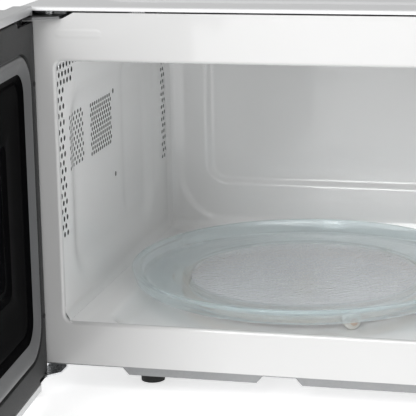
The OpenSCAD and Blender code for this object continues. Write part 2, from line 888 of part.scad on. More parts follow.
module dial_knob() {
    r = dial_d / 2;
    face = panel_front - 15;
    color("silver") difference() {
        union() {
            translate([panel_cx, face, dial_z]) rotate([-90, 0, 0]) rotate_extrude() {
                polygon([[0, 0.4], [r - 6, 0.4], [r - 5, 0], [r - 2, 0], [r - 1, 0.8], [r, 14], [r - 2, 14], [r - 3, 2.5], [0, 2.5]]);
            }
            rod_y(panel_cx, face + 2, dial_z, 4.8, 15);
            rod_y(panel_cx, face + 16, dial_z, 3, board_y - 2 - face - 16);
        }
        // Pointer groove
        box3([panel_cx - 0.8, face - 1, dial_z + r - 12], [panel_cx + 0.8, face + 1, dial_z + r - 2]);
    }
}

module key(i) {
    color("whitesmoke") {
        plate_y(panel_front - 1.8, 4.3) translate([key_x(i), key_z(i)]) rrect(key_w, key_h, 3);
        plate_y(panel_front + 2.6, 1) translate([key_x(i), key_z(i)]) rrect(key_w + 2.6, key_h + 2.6, 3);
        rod_y(key_x(i), panel_front + 2.4, key_z(i), 2.5, board_y - 6.2 - 0.1 - key_travel - panel_front - 2.4);
    }
}

module key_1() {
    key(0);
}

module key_2() {
    key(1);
}

module key_3() {
    key(2);
}

module key_4() {
    key(3);
}

module key_5() {
    key(4);
}

module key_6() {
    key(5);
}

module release_button() {
    color("whitesmoke") {
        difference() {
            plate_y(panel_front - 2, 22) translate([panel_cx, release_z]) rrect(release_w, release_h, 5);
            plate_y(panel_front + 0.5, 22) translate([panel_cx, release_z]) rrect(release_w - 5, release_h - 5, 3);
        }
        // Rod through the front plate, carried by a bar behind the button's face
        box3([rod_x0, panel_front + 15, rod_z0], [panel_cx - release_w / 2 + 2, panel_front + 20, rod_z0 + rod_h]);
        box3([rod_x0, panel_front + 15, rod_z0], [rod_x0 + 8, lever_y - 2.7, rod_z0 + rod_h]);
    }
}

// ---- Door latch in the cabinet ----

bracket_x0 = cav_x1 + 5;
bracket_x1 = 124;

module release_lever() {
    arm_x = ledge_x1 + 1;
    color("ivory") difference() {
        union() {
            rod_x(arm_x, lever_y, lever_z, 5, rod_x0 + 8 - arm_x);
            // Arm beside the lower ledge, with the finger under the hook's nose
            box3([arm_x, lever_y, lever_z - 2], [arm_x + 4, lever_y + 17, lever_z + 2]);
            box3([hook_x - 2.5, lever_y + 14.5, lever_z - 2], [arm_x + 4, lever_y + 17, lever_z + 5]);
            // Arm down to the release rod
            box3([rod_x0, lever_y - 2.2, rod_z0], [rod_x0 + 8, lever_y + 2.2, lever_z]);
        }
        rod_x(arm_x - 2, lever_y, lever_z, 2.55, 40);
    }
}

module latch_bracket() {
    wall = 2;
    y0 = front_y + sheet;
    deep = front_y + 40;
    color("whitesmoke") {
        // Web beside the cavity with the two catch ledges
        box3([bracket_x0, y0, 24], [bracket_x0 + wall, deep, 245]);
        box3([bracket_x0, y0, 238], [bracket_x1, deep, 240]);
        for (z = [hook_low, hook_high]) {
            box3([bracket_x0 + wall, y0 + 11, z - 14], [ledge_x1, y0 + 19, z - 0.4]);
        }
        // Lever's pin between the web and an ear
        rod_x(bracket_x0 + 1, lever_y, lever_z, 2.5, 39);
        box3([123.5, y0, lever_z - 12], [125.5, lever_y + 6, lever_z + 6]);
        box3([bracket_x0, y0, lever_z - 12], [125.5, y0 + 1.6, lever_z - 10]);
        // Carrier of the switches
        box3([bracket_x0, deep - 2, 90], [bracket_x1, deep, 245]);
    }
}

module door_switch(z) {
    x = 97;
    y = front_y + 20;
    box3([x, y, z], [x + 10, y + 18, z + 28]);
    box3([x + 3, y - 2.4, z + 8], [x + 6, y, z + 11]);
    for (dz = [4, 13, 22]) box3([x + 10, y + 6, z + dz], [x + 17, y + 12, z + dz + 0.8]);
}

module door_switches() {
    color("darkslategray") for (z = [98, 136, 174]) door_switch(z);
}

// ---- Hinges ----

// Flat arm around the hinge line, from the pin back into the cabinet
module hinge_arm(z, t, side_x) {
    plate_z(z, t) {
        translate([hinge_x, hinge_y]) circle(r = 5);
        polygon([[hinge_x - 1, hinge_y - 5], [hinge_x + 9, hinge_y - 4.5], [side_x, front_y - 3], [side_x, front_y + 14],
            [hinge_x + 2, front_y + 14], [hinge_x + 2, front_y - 4], [hinge_x - 4, hinge_y + 3]]);
    }
}

module top_hinge() {
    side_x = cav_cx - 143;
    color("silver") {
        rod_z(hinge_x, hinge_y, arm_z + arm_t - 0.01, pin_r, 4.8);
        // Arm, with a leg that is screwed behind the front plate
        difference() {
            union() {
                hinge_arm(arm_z, arm_t, side_x);
                box3([hinge_x + 2, front_y + 12.5, wall_high + 0.4], [side_x, front_y + 14, cav_z + 224]);
                box3([hinge_x + 2, front_y + sheet, wall_high + 0.4], [hinge_x + 3.5, front_y + 14, arm_z - 1.2]);
            }
            rod_y(cav_cx - 155, front_y + 10, cav_z + 222, 1.75, 6);
            rod_y(cav_cx - 155, front_y + 10.5, cav_z + 222, 3.6, 2);
        }
    }
}

module bottom_hinge() {
    side_x = cav_cx - 152;
    z = plate_hinge_z;
    color("silver") {
        hinge_arm(z, arm_t, side_x);
        rod_z(hinge_x, hinge_y, z + arm_t - 0.01, pin_r, 5.5);
        box3([hinge_x + 2, front_y + 10, z], [side_x, front_y + 14, base_z - sheet]);
    }
}

// ---- Door, drawn closed and turned open ----

// Room for a hinge arm at the door's hinge edge, open to the side and the inner face
module hinge_room(z, reach) {
    box3([door_x0 - 1, hinge_y - 6.5, z - 0.6], [hinge_x + reach, door_back + 1, z + arm_t + 0.6]);
}

// What the door leaves free around the hinge line: both rooms and a rounded edge
module hinge_cuts() {
    hinge_room(arm_z, 33);
    hinge_room(plate_hinge_z, 17.5);
    difference() {
        box3([hinge_x - 8, hinge_y, door_z - 1], [hinge_x, door_back + 1, door_top + 1]);
        rod_z(hinge_x, hinge_y, door_z - 2, edge_r, door_top - door_z + 4);
    }
}

// Boss of the lower hinge pin, grown by g on its sides
module low_boss(g) {
    box3([door_x0 + 2.4 - g, hinge_y - 6, plate_hinge_z + 2.1], [hinge_x + 8 + g, hinge_y + 4.2 + g, plate_hinge_z + 10 + g]);
}

module door_frame() {
    wall = 3;
    color("silver") door_pose() difference() {
        union() {
            difference() {
                union() {
                    plate_y(door_front, lip_y - door_front) rbox2(door_x0, door_z, door_x1, door_top - lip_step, 6);
                    plate_y(lip_y, door_back - lip_y) rbox2(door_x0 + 0.01, door_z, door_x1 - 1.5, door_top, 5);
                }
                plate_y(door_front + wall, door_t) rbox2(door_x0 + 4, door_z + 6, door_x1 - 5.5, door_top - 6, 4);
                plate_y(door_front - 1, 6) rbox2(door_x0 + 46, 50, door_x1 - 40, 234, 8);
                // The inner cover wraps over the hinge side, and the lower lip ends before the hinge
                box3([door_x0 - 1, door_back - 8, cover_z0], [door_x0 + 8.2, door_back + 1, cover_z1]);
                box3([door_x0 - 1, door_back - 14, door_z - 1], [door_x0 + 20, door_back + 1, cover_z0]);
            }
            // Bosses for the hinge pins
            box3([door_x0 + 2, hinge_y - 6, arm_z + 2.1], [hinge_x + 8, hinge_y + 4.4, door_top - 3]);
            low_boss(0);
            // Posts that the screen is fixed on
            for (x = [door_x0 + 20, screen_x1 - 6], z = [30, 143, 256]) {
                rod_y(x, door_front + wall - 0.1, z, 3.5, screen_y - door_front - wall + 0.1);
            }
            // Seat of the latch spring, with the slot that the latch slides in
            difference() {
                box3([spring_x - 3.5, door_back - 16, spring_high], [door_x1 - 5, door_back - 8.4, spring_high + 2.4]);
                box3([hook_x - 2.4, door_back - 13.4, spring_high - 1], [hook_x + 2.4, door_back - 9.6, spring_high + 4]);
            }
        }
        hinge_cuts();
        rod_z(hinge_x, hinge_y, arm_z, pin_r + pin_gap, 6.8);
        rod_z(hinge_x, hinge_y, plate_hinge_z, pin_r + pin_gap, 8.2);
    }
}

module door_glass() {
    color([0.1, 0.1, 0.12]) door_pose() {
        plate_y(door_front + 3, 3) rbox2(door_x0 + 34, 38, door_x1 - 31.5, 246, 6);
        plate_y(door_front + 0.6, 2.4) rbox2(door_x0 + 46.3, 50.3, door_x1 - 40.3, 233.7, 7.7);
    }
}

screen_y = door_back - 17;
screen_x0 = door_x0 + 14;
screen_x1 = cav_x1 + 1.2;

module door_screen() {
    t = 0.8;
    mid_x = (screen_x0 + screen_x1) / 2;
    color("dimgray") door_pose() {
        plate_y(screen_y, t) difference() {
            rbox2(screen_x0, 24, screen_x1, 262, 8);
            for (i = [0:23], j = [0:14]) translate([mid_x - 103.5 + i * 9, 82 + j * 9]) circle(r = 2.2, $fn = 24);
        }
        // Choke wall folded up around the screen
        plate_y(screen_y, 12) difference() {
            rbox2(screen_x0, 24, screen_x1, 262, 8);
            rbox2(screen_x0 + t, 24 + t, screen_x1 - t, 262 - t, 8 - t);
        }
    }
}

// The cover's groove and its window, which lie nearer the hinge edge than the latch edge
groove_x0 = cover_x0 + 7.7;
groove_x1 = cover_x1 - 15;
groove_z0 = cav_z - 22;
groove_z1 = cav_z + 199;
groove_r = 28;
groove_w = 1.6;
window_x0 = cover_x0 + 24.5;
window_x1 = cover_x1 - 33;
window_z0 = cav_z - 1.5;
window_z1 = cav_z + 180;
window_r = 12;

module choke_cover() {
    y = door_back - 8;
    color([0.25, 0.26, 0.27]) door_pose() difference() {
        plate_y(y, 8) rbox2(skin_x0, cover_z0 + 0.2, door_x1 - 5.7, cover_z1 - 0.2, 3.8);
        plate_y(y - 1, 12) rbox2(window_x0, window_z0, window_x1, window_z1, window_r);
        // Groove around the raised inner ring
        plate_y(door_back - 2, 4) difference() {
            rbox2(groove_x0, groove_z0, groove_x1, groove_z1, groove_r);
            rbox2(groove_x0 + groove_w, groove_z0 + groove_w, groove_x1 - groove_w, groove_z1 - groove_w, groove_r - groove_w);
        }
        // Hollow back over the choke
        plate_y(y - 0.01, 5) difference() {
            rbox2(door_x0 + 6.5, cover_z0 + 3, door_x1 - 8, cover_z1 - 3, 3);
            rbox2(window_x0 - 3, window_z0 - 3, window_x1 + 3, window_z1 + 3, window_r + 3);
        }
        hinge_cuts();
        low_boss(0.2);
        box3([door_x0, hinge_y - 10, arm_z - 2.4], [cover_x0 + 39, door_back + 1, cover_z1 + 1]);
        // Slots that the hooks slide in
        for (z = [hook_low, hook_high]) {
            box3([hook_x - 2.4, y - 1, z - 5.2], [hook_x + 2.4, door_back + 1, z + 8.8 + hook_lift]);
        }
    }
}

module inner_window() {
    y = door_back - 8;
    rim = 2.5;
    fit = 0.3;
    color([0.03, 0.03, 0.035]) door_pose() {
        plate_y(y - 1.5, 1.5) rbox2(window_x0 - rim, window_z0 - rim, window_x1 + rim, window_z1 + rim, window_r + rim);
        plate_y(y - 0.01, 2) difference() {
            rbox2(window_x0 + fit, window_z0 + fit, window_x1 - fit, window_z1 - fit, window_r - fit);
            rbox2(window_x0 + 30, window_z0 + 24, window_x1 - 30, window_z1 - 24, 10);
        }
    }
}

module hook(z) {
    box3([hook_x - hook_t / 2, door_back - 12, z], [hook_x + hook_t / 2, hook_reach, z + 8]);
    plate_x(hook_x - hook_t / 2, hook_t) {
        polygon([[hook_reach - 9, z + 1], [hook_reach - 9, z - 4.5], [hook_reach - 4, z - 4.5], [hook_reach, z + 1]]);
    }
}

module latch_hooks() {
    color("whitesmoke") door_pose() {
        hook(hook_low);
        hook(hook_high);
        box3([hook_x - hook_t / 2, door_back - 13, hook_low], [hook_x + hook_t / 2, door_back - 10, hook_high + 8]);
        // Tab that the spring presses down on
        box3([spring_x - 3, door_back - 13, spring_low - 3.2], [hook_x + hook_t / 2, door_back - 10, spring_low - 0.1]);
    }
}

// Helix of round wire along Z, as one swept mesh
spring_r = 2.6;
spring_wire = 0.45;
spring_turns = 9;
spring_steps = 16;
spring_sides = 8;

function spring_point(i, j) = let(
    a = i * 360 / spring_steps,
    b = j * 360 / spring_sides,
    rr = spring_r + spring_wire * cos(b),
    rise = (spring_high - spring_low - 2 * spring_wire - 0.1) / (spring_turns * spring_steps)
) [rr * cos(a), rr * sin(a), i * rise + spring_wire * (1 + sin(b))];

module latch_spring() {
    rings = spring_turns * spring_steps;
    sides = spring_sides;
    points = [for (i = [0:rings], j = [0:sides - 1]) spring_point(i, j)];
    skin = [for (i = [0:rings - 1], j = [0:sides - 1])
        [i * sides + j, i * sides + (j + 1) % sides, (i + 1) * sides + (j + 1) % sides, (i + 1) * sides + j]];
    first = [for (j = [0:sides - 1]) sides - 1 - j];
    last = [for (j = [0:sides - 1]) rings * sides + j];
    color("silver") door_pose() translate([spring_x, door_back - 11.5, spring_low]) {
        polyhedron(points, concat([first, last], skin), convexity = 8);
    }
}

module door_buffers() {
    color("black") door_pose() {
        for (z = [cav_z + 6, cav_z + 174]) rod_y(hinge_x, door_back, z, 1.9, 0.6);
        for (z = [cav_z + 6, cav_z + 150]) rod_y(cover_x1 - 10.5, door_back, z, 1.9, 0.6);
    }
}

outer_cabinet();
front_flange();
cavity_left_wall();
cavity_right_wall();
cavity_ceiling();
cavity_back_wall();
cavity_floor();
base_plate();
rear_panel();
feet();
cord_gland();
waveguide_cover();
waveguide();
magnetron();
magnetron_fins();
transformer_core();
transformer_coils();
hv_capacitor();
hv_diode();
filter_board();
fan_shroud();
fan_motor();
fan_blade();
turntable_motor();
drive_shaft();
turntable_coupler();
glass_plate();
roller_ring();
roller_a();
roller_b();
roller_c();
oven_lamp();
lamp_socket();
thermal_cutouts();
control_panel();
display_window();
control_board();
dial_encoder();
dial_knob();
key_1();
key_2();
key_3();
key_4();
key_5();
key_6();
release_button();
release_lever();
latch_bracket();
door_switches();
top_hinge();
bottom_hinge();
door_frame();
door_glass();
door_screen();
choke_cover();
inner_window();
latch_hooks();
latch_spring();
door_buffers();
screws();
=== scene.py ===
"""Looks of a countertop microwave oven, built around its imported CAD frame.

Lengths are in millimetres until a mesh is made.
"""

import json
import math

import bmesh
import bpy
import numpy as np
from mathutils import Matrix, Vector
from mathutils.geometry import delaunay_2d_cdt


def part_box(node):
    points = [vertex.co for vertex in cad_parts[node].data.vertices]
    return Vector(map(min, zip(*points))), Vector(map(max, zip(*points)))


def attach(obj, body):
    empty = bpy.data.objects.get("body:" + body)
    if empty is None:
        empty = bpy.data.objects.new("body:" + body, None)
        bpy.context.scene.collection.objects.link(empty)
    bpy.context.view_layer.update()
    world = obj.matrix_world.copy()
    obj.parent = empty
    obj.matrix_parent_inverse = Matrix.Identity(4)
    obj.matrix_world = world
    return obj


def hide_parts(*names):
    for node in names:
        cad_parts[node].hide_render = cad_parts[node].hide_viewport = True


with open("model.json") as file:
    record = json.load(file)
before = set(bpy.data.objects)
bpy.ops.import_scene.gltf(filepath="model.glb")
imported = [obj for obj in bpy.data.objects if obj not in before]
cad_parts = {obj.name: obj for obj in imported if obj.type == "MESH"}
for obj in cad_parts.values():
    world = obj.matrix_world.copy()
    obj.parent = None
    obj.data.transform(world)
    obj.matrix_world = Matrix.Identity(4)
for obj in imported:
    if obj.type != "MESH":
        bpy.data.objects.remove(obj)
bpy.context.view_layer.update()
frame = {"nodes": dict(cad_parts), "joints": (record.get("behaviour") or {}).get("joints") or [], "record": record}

MM = 0.001


def box_mm(node):
    low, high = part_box(node)
    return np.array(low) / MM, np.array(high) / MM


joints = {j["name"]: j for j in frame["joints"]}

# ---- Places, from the frame ----

cab_low, cab_high = box_mm("outer_cabinet")
flange_low, flange_high = box_mm("front_flange")
front = cab_low[1]
half_w = cab_high[0]
opening_x0 = box_mm("cavity_ceiling")[0][0]
opening_x1 = box_mm("cavity_ceiling")[1][0]
cavity_top = box_mm("cavity_ceiling")[0][2]
cavity_back = box_mm("cavity_back_wall")[0][1]
floor_z = box_mm("cavity_floor")[1][2]
opening_z = floor_z + 3
centre_x = (opening_x0 + opening_x1) / 2
hub_y = joints["coupler_spin"]["pos_m"][1] / MM
sheet = 0.8
thin = 0.15
lip_r = 2.2
opening_r = 5.5

# ---- Materials ----


def shader(name, base, rough, metallic=0.0, **extra):
    """A new material's node tree, its links and its Principled shader."""
    mat = bpy.data.materials.new(name)
    mat.use_nodes = True
    tree = mat.node_tree
    bsdf = tree.nodes["Principled BSDF"]
    bsdf.inputs["Base Color"].default_value = (*base, 1)
    bsdf.inputs["Roughness"].default_value = rough
    bsdf.inputs["Metallic"].default_value = metallic
    for key, value in extra.items():
        bsdf.inputs[key.replace("_", " ")].default_value = value
    return mat, tree, bsdf


def noise(tree, scale, detail=3.0, stretch=(1, 1, 1)):
    """Noise in the piece's own space, which moves with the piece."""
    where = tree.nodes.new("ShaderNodeTexCoord")
    size = tree.nodes.new("ShaderNodeMapping")
    size.inputs["Scale"].default_value = stretch
    tex = tree.nodes.new("ShaderNodeTexNoise")
    tex.inputs["Scale"].default_value = scale
    tex.inputs["Detail"].default_value = detail
    tree.links.new(where.outputs["Object"], size.inputs["Vector"])
    tree.links.new(size.outputs["Vector"], tex.inputs["Vector"])
    return tex.outputs["Fac"]


def spread(tree, value, low, high):
    """A node that maps the middle of a noise to low...high."""
    node = tree.nodes.new("ShaderNodeMapRange")
    node.inputs["From Min"].default_value = 0.2
    node.inputs["From Max"].default_value = 0.8
    node.inputs["To Min"].default_value = low
    node.inputs["To Max"].default_value = high
    tree.links.new(value, node.inputs["Value"])
    return node.outputs["Result"]


def tint(tree, bsdf, value, base, amount):
    """The base colour varies a little with value."""
    mix = tree.nodes.new("ShaderNodeMix")
    mix.data_type = "RGBA"
    mix.inputs["A"].default_value = (*[c * (1 - amount) for c in base], 1)
    mix.inputs["B"].default_value = (*[min(1, c * (1 + amount)) for c in base], 1)
    tree.links.new(value, mix.inputs["Factor"])
    tree.links.new(mix.outputs["Result"], bsdf.inputs["Base Color"])


def bump(tree, bsdf, value, strength, distance):
    node = tree.nodes.new("ShaderNodeBump")
    node.inputs["Strength"].default_value = strength
    node.inputs["Distance"].default_value = distance
    tree.links.new(value, node.inputs["Height"])
    tree.links.new(node.outputs["Normal"], bsdf.inputs["Normal"])


def enamel(name, base):
    """Fired enamel: gloss with a faint orange peel."""
    mat, tree, bsdf = shader(name, base, 0.3, Coat_Weight=0.8, Coat_Roughness=0.06)
    peel = noise(tree, 260, 2)
    tint(tree, bsdf, noise(tree, 9, 2), base, 0.01)
    tree.links.new(spread(tree, noise(tree, 30, 2), 0.28, 0.33), bsdf.inputs["Roughness"])
    bump(tree, bsdf, peel, 0.1, 0.0003)
    return mat


def silver(name, base, metallic=0.55, rough=0.36):
    """Silver paint: metal flakes under a satin coat, dulled a little by handling."""
    mat, tree, bsdf = shader(name, base, rough, metallic, Coat_Weight=0.2, Coat_Roughness=0.3)
    flake = noise(tree, 2600, 1)
    tint(tree, bsdf, flake, base, 0.10)
    tree.links.new(spread(tree, noise(tree, 14, 5), rough - 0.05, rough + 0.07), bsdf.inputs["Roughness"])
    bump(tree, bsdf, flake, 0.10, 0.0002)
    return mat


def metal(name, base, rough=0.32, stretch=(1, 1, 1)):
    """Bare or zinc coated metal with rolling marks and dull patches."""
    mat, tree, bsdf = shader(name, base, rough, 1.0)
    grain = noise(tree, 420, 5, stretch)
    tint(tree, bsdf, noise(tree, 45, 6), base, 0.09)
    tree.links.new(spread(tree, grain, rough - 0.08, rough + 0.12), bsdf.inputs["Roughness"])
    bump(tree, bsdf, grain, 0.12, 0.0002)
    return mat


def plastic(name, base, rough=0.5, grain=900, depth=0.25, patch=0.06):
    """Moulded plastic with a fine spark-eroded grain."""
    mat, tree, bsdf = shader(name, base, rough)
    fine = noise(tree, grain, 2)
    tint(tree, bsdf, noise(tree, 60, 4), base, patch)
    tree.links.new(spread(tree, fine, rough - 0.06, rough + 0.08), bsdf.inputs["Roughness"])
    bump(tree, bsdf, fine, depth, 0.0003)
    return mat


def gloss(name, base, rough=0.06, level=0.5):
    """Polished plastic or coated glass with faint wipe marks; level is its specular level."""
    mat, tree, bsdf = shader(name, base, rough, Specular_IOR_Level=level)
    tree.links.new(spread(tree, noise(tree, 18, 6, (1, 1, 4)), rough, rough + 0.08), bsdf.inputs["Roughness"])
    tint(tree, bsdf, noise(tree, 12, 3), base, 0.2)
    return mat


rim_colour = (0.80, 0.94, 0.97)


def glass(name, base, rough=0.02, texture=None):
    """Pressed glass, half see-through; a texture is (radius, scale) of a pebbled middle disc.

    The pebbled disc is rougher and less clear than the rim, and fades into it over 4 mm.
    """
    mat, tree, bsdf = shader(name, base, rough, Transmission_Weight=1.0, IOR=1.45, Alpha=0.5)
    if texture is None:
        bump(tree, bsdf, noise(tree, 22, 2), 0.05, 0.001)
        return mat
    radius, scale = texture
    where = tree.nodes.new("ShaderNodeTexCoord")
    shift = tree.nodes.new("ShaderNodeVectorMath")
    shift.operation = "SUBTRACT"
    shift.inputs[1].default_value = (centre_x * MM, hub_y * MM, 0)
    flat = tree.nodes.new("ShaderNodeVectorMath")
    flat.operation = "MULTIPLY"
    flat.inputs[1].default_value = (1, 1, 0)
    length = tree.nodes.new("ShaderNodeVectorMath")
    length.operation = "LENGTH"
    inside = tree.nodes.new("ShaderNodeMapRange")
    inside.interpolation_type = "SMOOTHSTEP"
    inside.inputs["From Min"].default_value = radius * MM
    inside.inputs["From Max"].default_value = (radius - 4) * MM
    cells = tree.nodes.new("ShaderNodeTexVoronoi")
    cells.feature = "SMOOTH_F1"
    cells.inputs["Scale"].default_value = scale
    pebbles = tree.nodes.new("ShaderNodeMath")
    pebbles.operation = "MULTIPLY"
    tree.links.new(where.outputs["Object"], shift.inputs[0])
    tree.links.new(shift.outputs[0], flat.inputs[0])
    tree.links.new(flat.outputs[0], length.inputs[0])
    tree.links.new(length.outputs["Value"], inside.inputs["Value"])
    tree.links.new(flat.outputs[0], cells.inputs["Vector"])
    tree.links.new(cells.outputs["Distance"], pebbles.inputs[0])
    tree.links.new(inside.outputs["Result"], pebbles.inputs[1])
    bump(tree, bsdf, pebbles.outputs[0], 0.45, 0.0008)
    for socket, outer, inner in (("Transmission Weight", 0.78, 0.3), ("Roughness", 0.02, 0.10)):
        level = tree.nodes.new("ShaderNodeMapRange")
        level.inputs["To Min"].default_value = outer
        level.inputs["To Max"].default_value = inner
        tree.links.new(inside.outputs["Result"], level.inputs["Value"])
        tree.links.new(level.outputs["Result"], bsdf.inputs[socket])
    mix = tree.nodes.new("ShaderNodeMix")
    mix.data_type = "RGBA"
    mix.inputs["A"].default_value = (*rim_colour, 1)
    mix.inputs["B"].default_value = (*base, 1)
    tree.links.new(inside.outputs["Result"], mix.inputs["Factor"])
    tree.links.new(mix.outputs["Result"], bsdf.inputs["Base Color"])
    return mat


disc_r = 91.0
SLOT_MATERIALS = {
    "cabinet_paint": silver("cabinet_paint", (0.76, 0.765, 0.77), 0.2, 0.5),
    # The flange and the cavity are one white enamel: the flange's copy is drawn darker (painted shade) and the
    # cavity's lighter (painted light).
    "flange_enamel": enamel("flange_enamel", (0.665, 0.665, 0.662)),
    "cavity_enamel": enamel("cavity_enamel", (0.965, 0.965, 0.962)),
    "zinc_sheet": metal("zinc_sheet", (0.32, 0.325, 0.33), 0.45, (1, 12, 1)),
    "rear_sheet": silver("rear_sheet", (0.58, 0.585, 0.59)),
    "black_rubber": plastic("black_rubber", (0.012, 0.012, 0.012), 0.7, 500, 0.4),
    "gland_rubber": plastic("gland_rubber", (0.02, 0.02, 0.02), 0.7, 500, 0.4),
    "mica": plastic("mica", (0.62, 0.54, 0.40), 0.35, 120, 0.2, 0.15),
    "zinc_guide": metal("zinc_guide", (0.66, 0.67, 0.68), 0.35),
    "magnetron_steel": metal("magnetron_steel", (0.60, 0.61, 0.62), 0.34),
    "fin_aluminium": metal("fin_aluminium", (0.82, 0.83, 0.84), 0.28, (1, 1, 20)),
    "core_steel": metal("core_steel", (0.22, 0.22, 0.23), 0.55, (1, 60, 1)),
    "copper_wire": metal("copper_wire", (0.62, 0.28, 0.12), 0.3, (1, 1, 40)),
    "can_aluminium": metal("can_aluminium", (0.75, 0.76, 0.77), 0.3, (1, 1, 15)),
    "diode_black": plastic("diode_black", (0.02, 0.02, 0.02), 0.35),
    "board_green": plastic("board_green", (0.03, 0.17, 0.07), 0.35, 300, 0.15, 0.2),
    "shroud_plastic": plastic("shroud_plastic", (0.20, 0.20, 0.21), 0.5),
    "motor_steel": metal("motor_steel", (0.42, 0.43, 0.44), 0.45, (1, 60, 1)),
    "fan_plastic": plastic("fan_plastic", (0.78, 0.78, 0.76), 0.42),
    "motor_can": metal("motor_can", (0.65, 0.66, 0.67), 0.3),
    "shaft_nylon": plastic("shaft_nylon", (0.80, 0.77, 0.68), 0.4),
    "coupler_nylon": plastic("coupler_nylon", (0.80, 0.76, 0.66), 0.4),
    "plate_glass": glass("plate_glass", (0.92, 0.96, 1.0), 0.02, (disc_r + 1, 420)),
    "ring_plastic": plastic("ring_plastic", (0.70, 0.56, 0.46), 0.45),
    "roller_plastic": plastic("roller_plastic", (0.84, 0.82, 0.78), 0.4),
    "lamp_glass": glass("lamp_glass", (1.0, 0.97, 0.9)),
    "socket_ceramic": plastic("socket_ceramic", (0.82, 0.80, 0.75), 0.3),
    "cutout_black": plastic("cutout_black", (0.02, 0.02, 0.02), 0.4),
    "panel_silver": silver("panel_silver", (0.60, 0.605, 0.61), 0.45, 0.4),
    "display_black": gloss("display_black", (0.008, 0.009, 0.011)),
    "encoder_black": plastic("encoder_black", (0.03, 0.03, 0.03), 0.4),
    "knob_silver": silver("knob_silver", (0.66, 0.665, 0.67), 0.7, 0.28),
    "key_grey": silver("key_grey", (0.70, 0.705, 0.71), 0.35, 0.42),
    "button_silver": silver("button_silver", (0.70, 0.705, 0.71), 0.35, 0.42),
    "lever_nylon": plastic("lever_nylon", (0.80, 0.77, 0.68), 0.4),
    "bracket_white": plastic("bracket_white", (0.80, 0.80, 0.78), 0.45),
    "switch_black": plastic("switch_black", (0.03, 0.03, 0.03), 0.4),
    "hinge_steel": metal("hinge_steel", (0.80, 0.81, 0.82), 0.26),
    "door_silver": silver("door_silver", (0.66, 0.665, 0.67), 0.5, 0.36),
    "door_glass": gloss("door_glass", (0.012, 0.012, 0.014)),
    "screen_black": metal("screen_black", (0.03, 0.03, 0.032), 0.4),
    "cover_grey": plastic("cover_grey", (0.013, 0.0135, 0.014), 0.55, 1300, 0.35, 0.04),
    "window_black": gloss("window_black", (0.003, 0.003, 0.0033), 0.16, 0.002),
    "latch_white": plastic("latch_white", (0.80, 0.80, 0.78), 0.4),
    "spring_steel": metal("spring_steel", (0.62, 0.63, 0.64), 0.25),
    "screw_steel": metal("screw_steel", (0.72, 0.73, 0.74), 0.25),
}

# The moulding is the cover's own dark plastic, drawn much lighter: painted light on its slope.
moulding_painted_light_grey = plastic("moulding_painted_light_grey", (0.125, 0.127, 0.13), 0.34, 1300, 0.25, 0.04)
lug_glass = glass("lug_glass", (0.97, 0.98, 0.98))
lug_shader = lug_glass.node_tree.nodes["Principled BSDF"]
lug_shader.inputs["Transmission Weight"].default_value = 0.35
lug_shader.inputs["Alpha"].default_value = 0.9
# The top hinge is the same bright steel as the lower hinge, drawn dark: painted shade under the cabinet's hem.
painted_shade_steel = metal("painted_shade_steel", (0.20, 0.20, 0.205), 0.4)
# A dark steel for the wrap's inside faces: painted shade, so the cabinet's inside reads dark through the slots and
# gaps.
wrap_inside_painted_shade = metal("wrap_inside_painted_shade", (0.16, 0.16, 0.165), 0.5, (1, 8, 1))

for row in frame["record"]["subparts"]:
    node = frame["nodes"][row["node"]]
    node.data.materials.clear()
    node.data.materials.append(SLOT_MATERIALS[row["material_slot"]])
# The top hinge gets the dark steel: painted shade.
frame["nodes"]["top_hinge"].data.materials[0] = painted_shade_steel

# ---- Mesh tools ----


def add_piece(name, verts, faces, slot_name, body, nodes, angle=32):
    """A mesh piece in a slot's material, which rides on a body and stands for CAD nodes."""
    mesh = bpy.data.meshes.new(name)
    points = [Vector(v) * MM for v in np.asarray(verts, float)]
    mesh.from_pydata(points, [], [list(map(int, f)) for f in faces])
    mesh.validate()
    bm = bmesh.new()
    bm.from_mesh(mesh)
    bmesh.ops.remove_doubles(bm, verts=bm.verts, dist=1e-6)
    bmesh.ops.recalc_face_normals(bm, faces=bm.faces)
    bm.to_mesh(mesh)
    bm.free()
    mesh.shade_smooth()
    mesh.set_sharp_from_angle(angle=math.radians(angle))
    mesh.materials.append(SLOT_MATERIALS[slot_name])
    piece = bpy.data.objects.new(name, mesh)
    bpy.context.scene.collection.objects.link(piece)
    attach(piece, body)
    if nodes:
        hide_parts(*nodes)
    return piece


def arc(cx, cy, r, a0, a1, n):
    """n + 1 points of an arc, angles in degrees."""
    turns = [math.radians(a) for a in np.linspace(a0, a1, n + 1)]
    return [(cx + r * math.cos(a), cy + r * math.sin(a)) for a in turns]


def rounded(x0, z0, x1, z1, r, n=8):
    """Outline of a rounded rectangle, anticlockwise from its right side's top."""
    return (
        arc(x1 - r, z1 - r, r, 0, 90, n)
        + arc(x0 + r, z1 - r, r, 90, 180, n)
        + arc(x0 + r, z0 + r, r, 180, 270, n)
        + arc(x1 - r, z0 + r, r, 270, 360, n)
    )


def inset(rect, d, r):
    """A rectangle (x0, z0, x1, z1) pulled in by d, with corner radius r."""
    return rounded(rect[0] + d, rect[1] + d, rect[2] - d, rect[3] - d, r)


def loft(rings, close=False, cap_first=False, cap_last=False, start=0):
    """Faces between rings of equal length, counted from vertex start."""
    n = len(rings[0])
    verts = [p for ring in rings for p in ring]
    count = len(rings)
    faces = []
    for i in range(count if close else count - 1):
        a, b = start + i * n, start + ((i + 1) % count) * n
        faces += [(a + j, a + (j + 1) % n, b + (j + 1) % n, b + j) for j in range(n)]
    if cap_first:
        faces.append([start + j for j in range(n)])
    if cap_last:
        faces.append([start + (count - 1) * n + j for j in range(n)])
    return verts, faces


def at_y(outline, y):
    """An XZ outline as a ring at depth y."""
    return [(x, y, z) for x, z in outline]


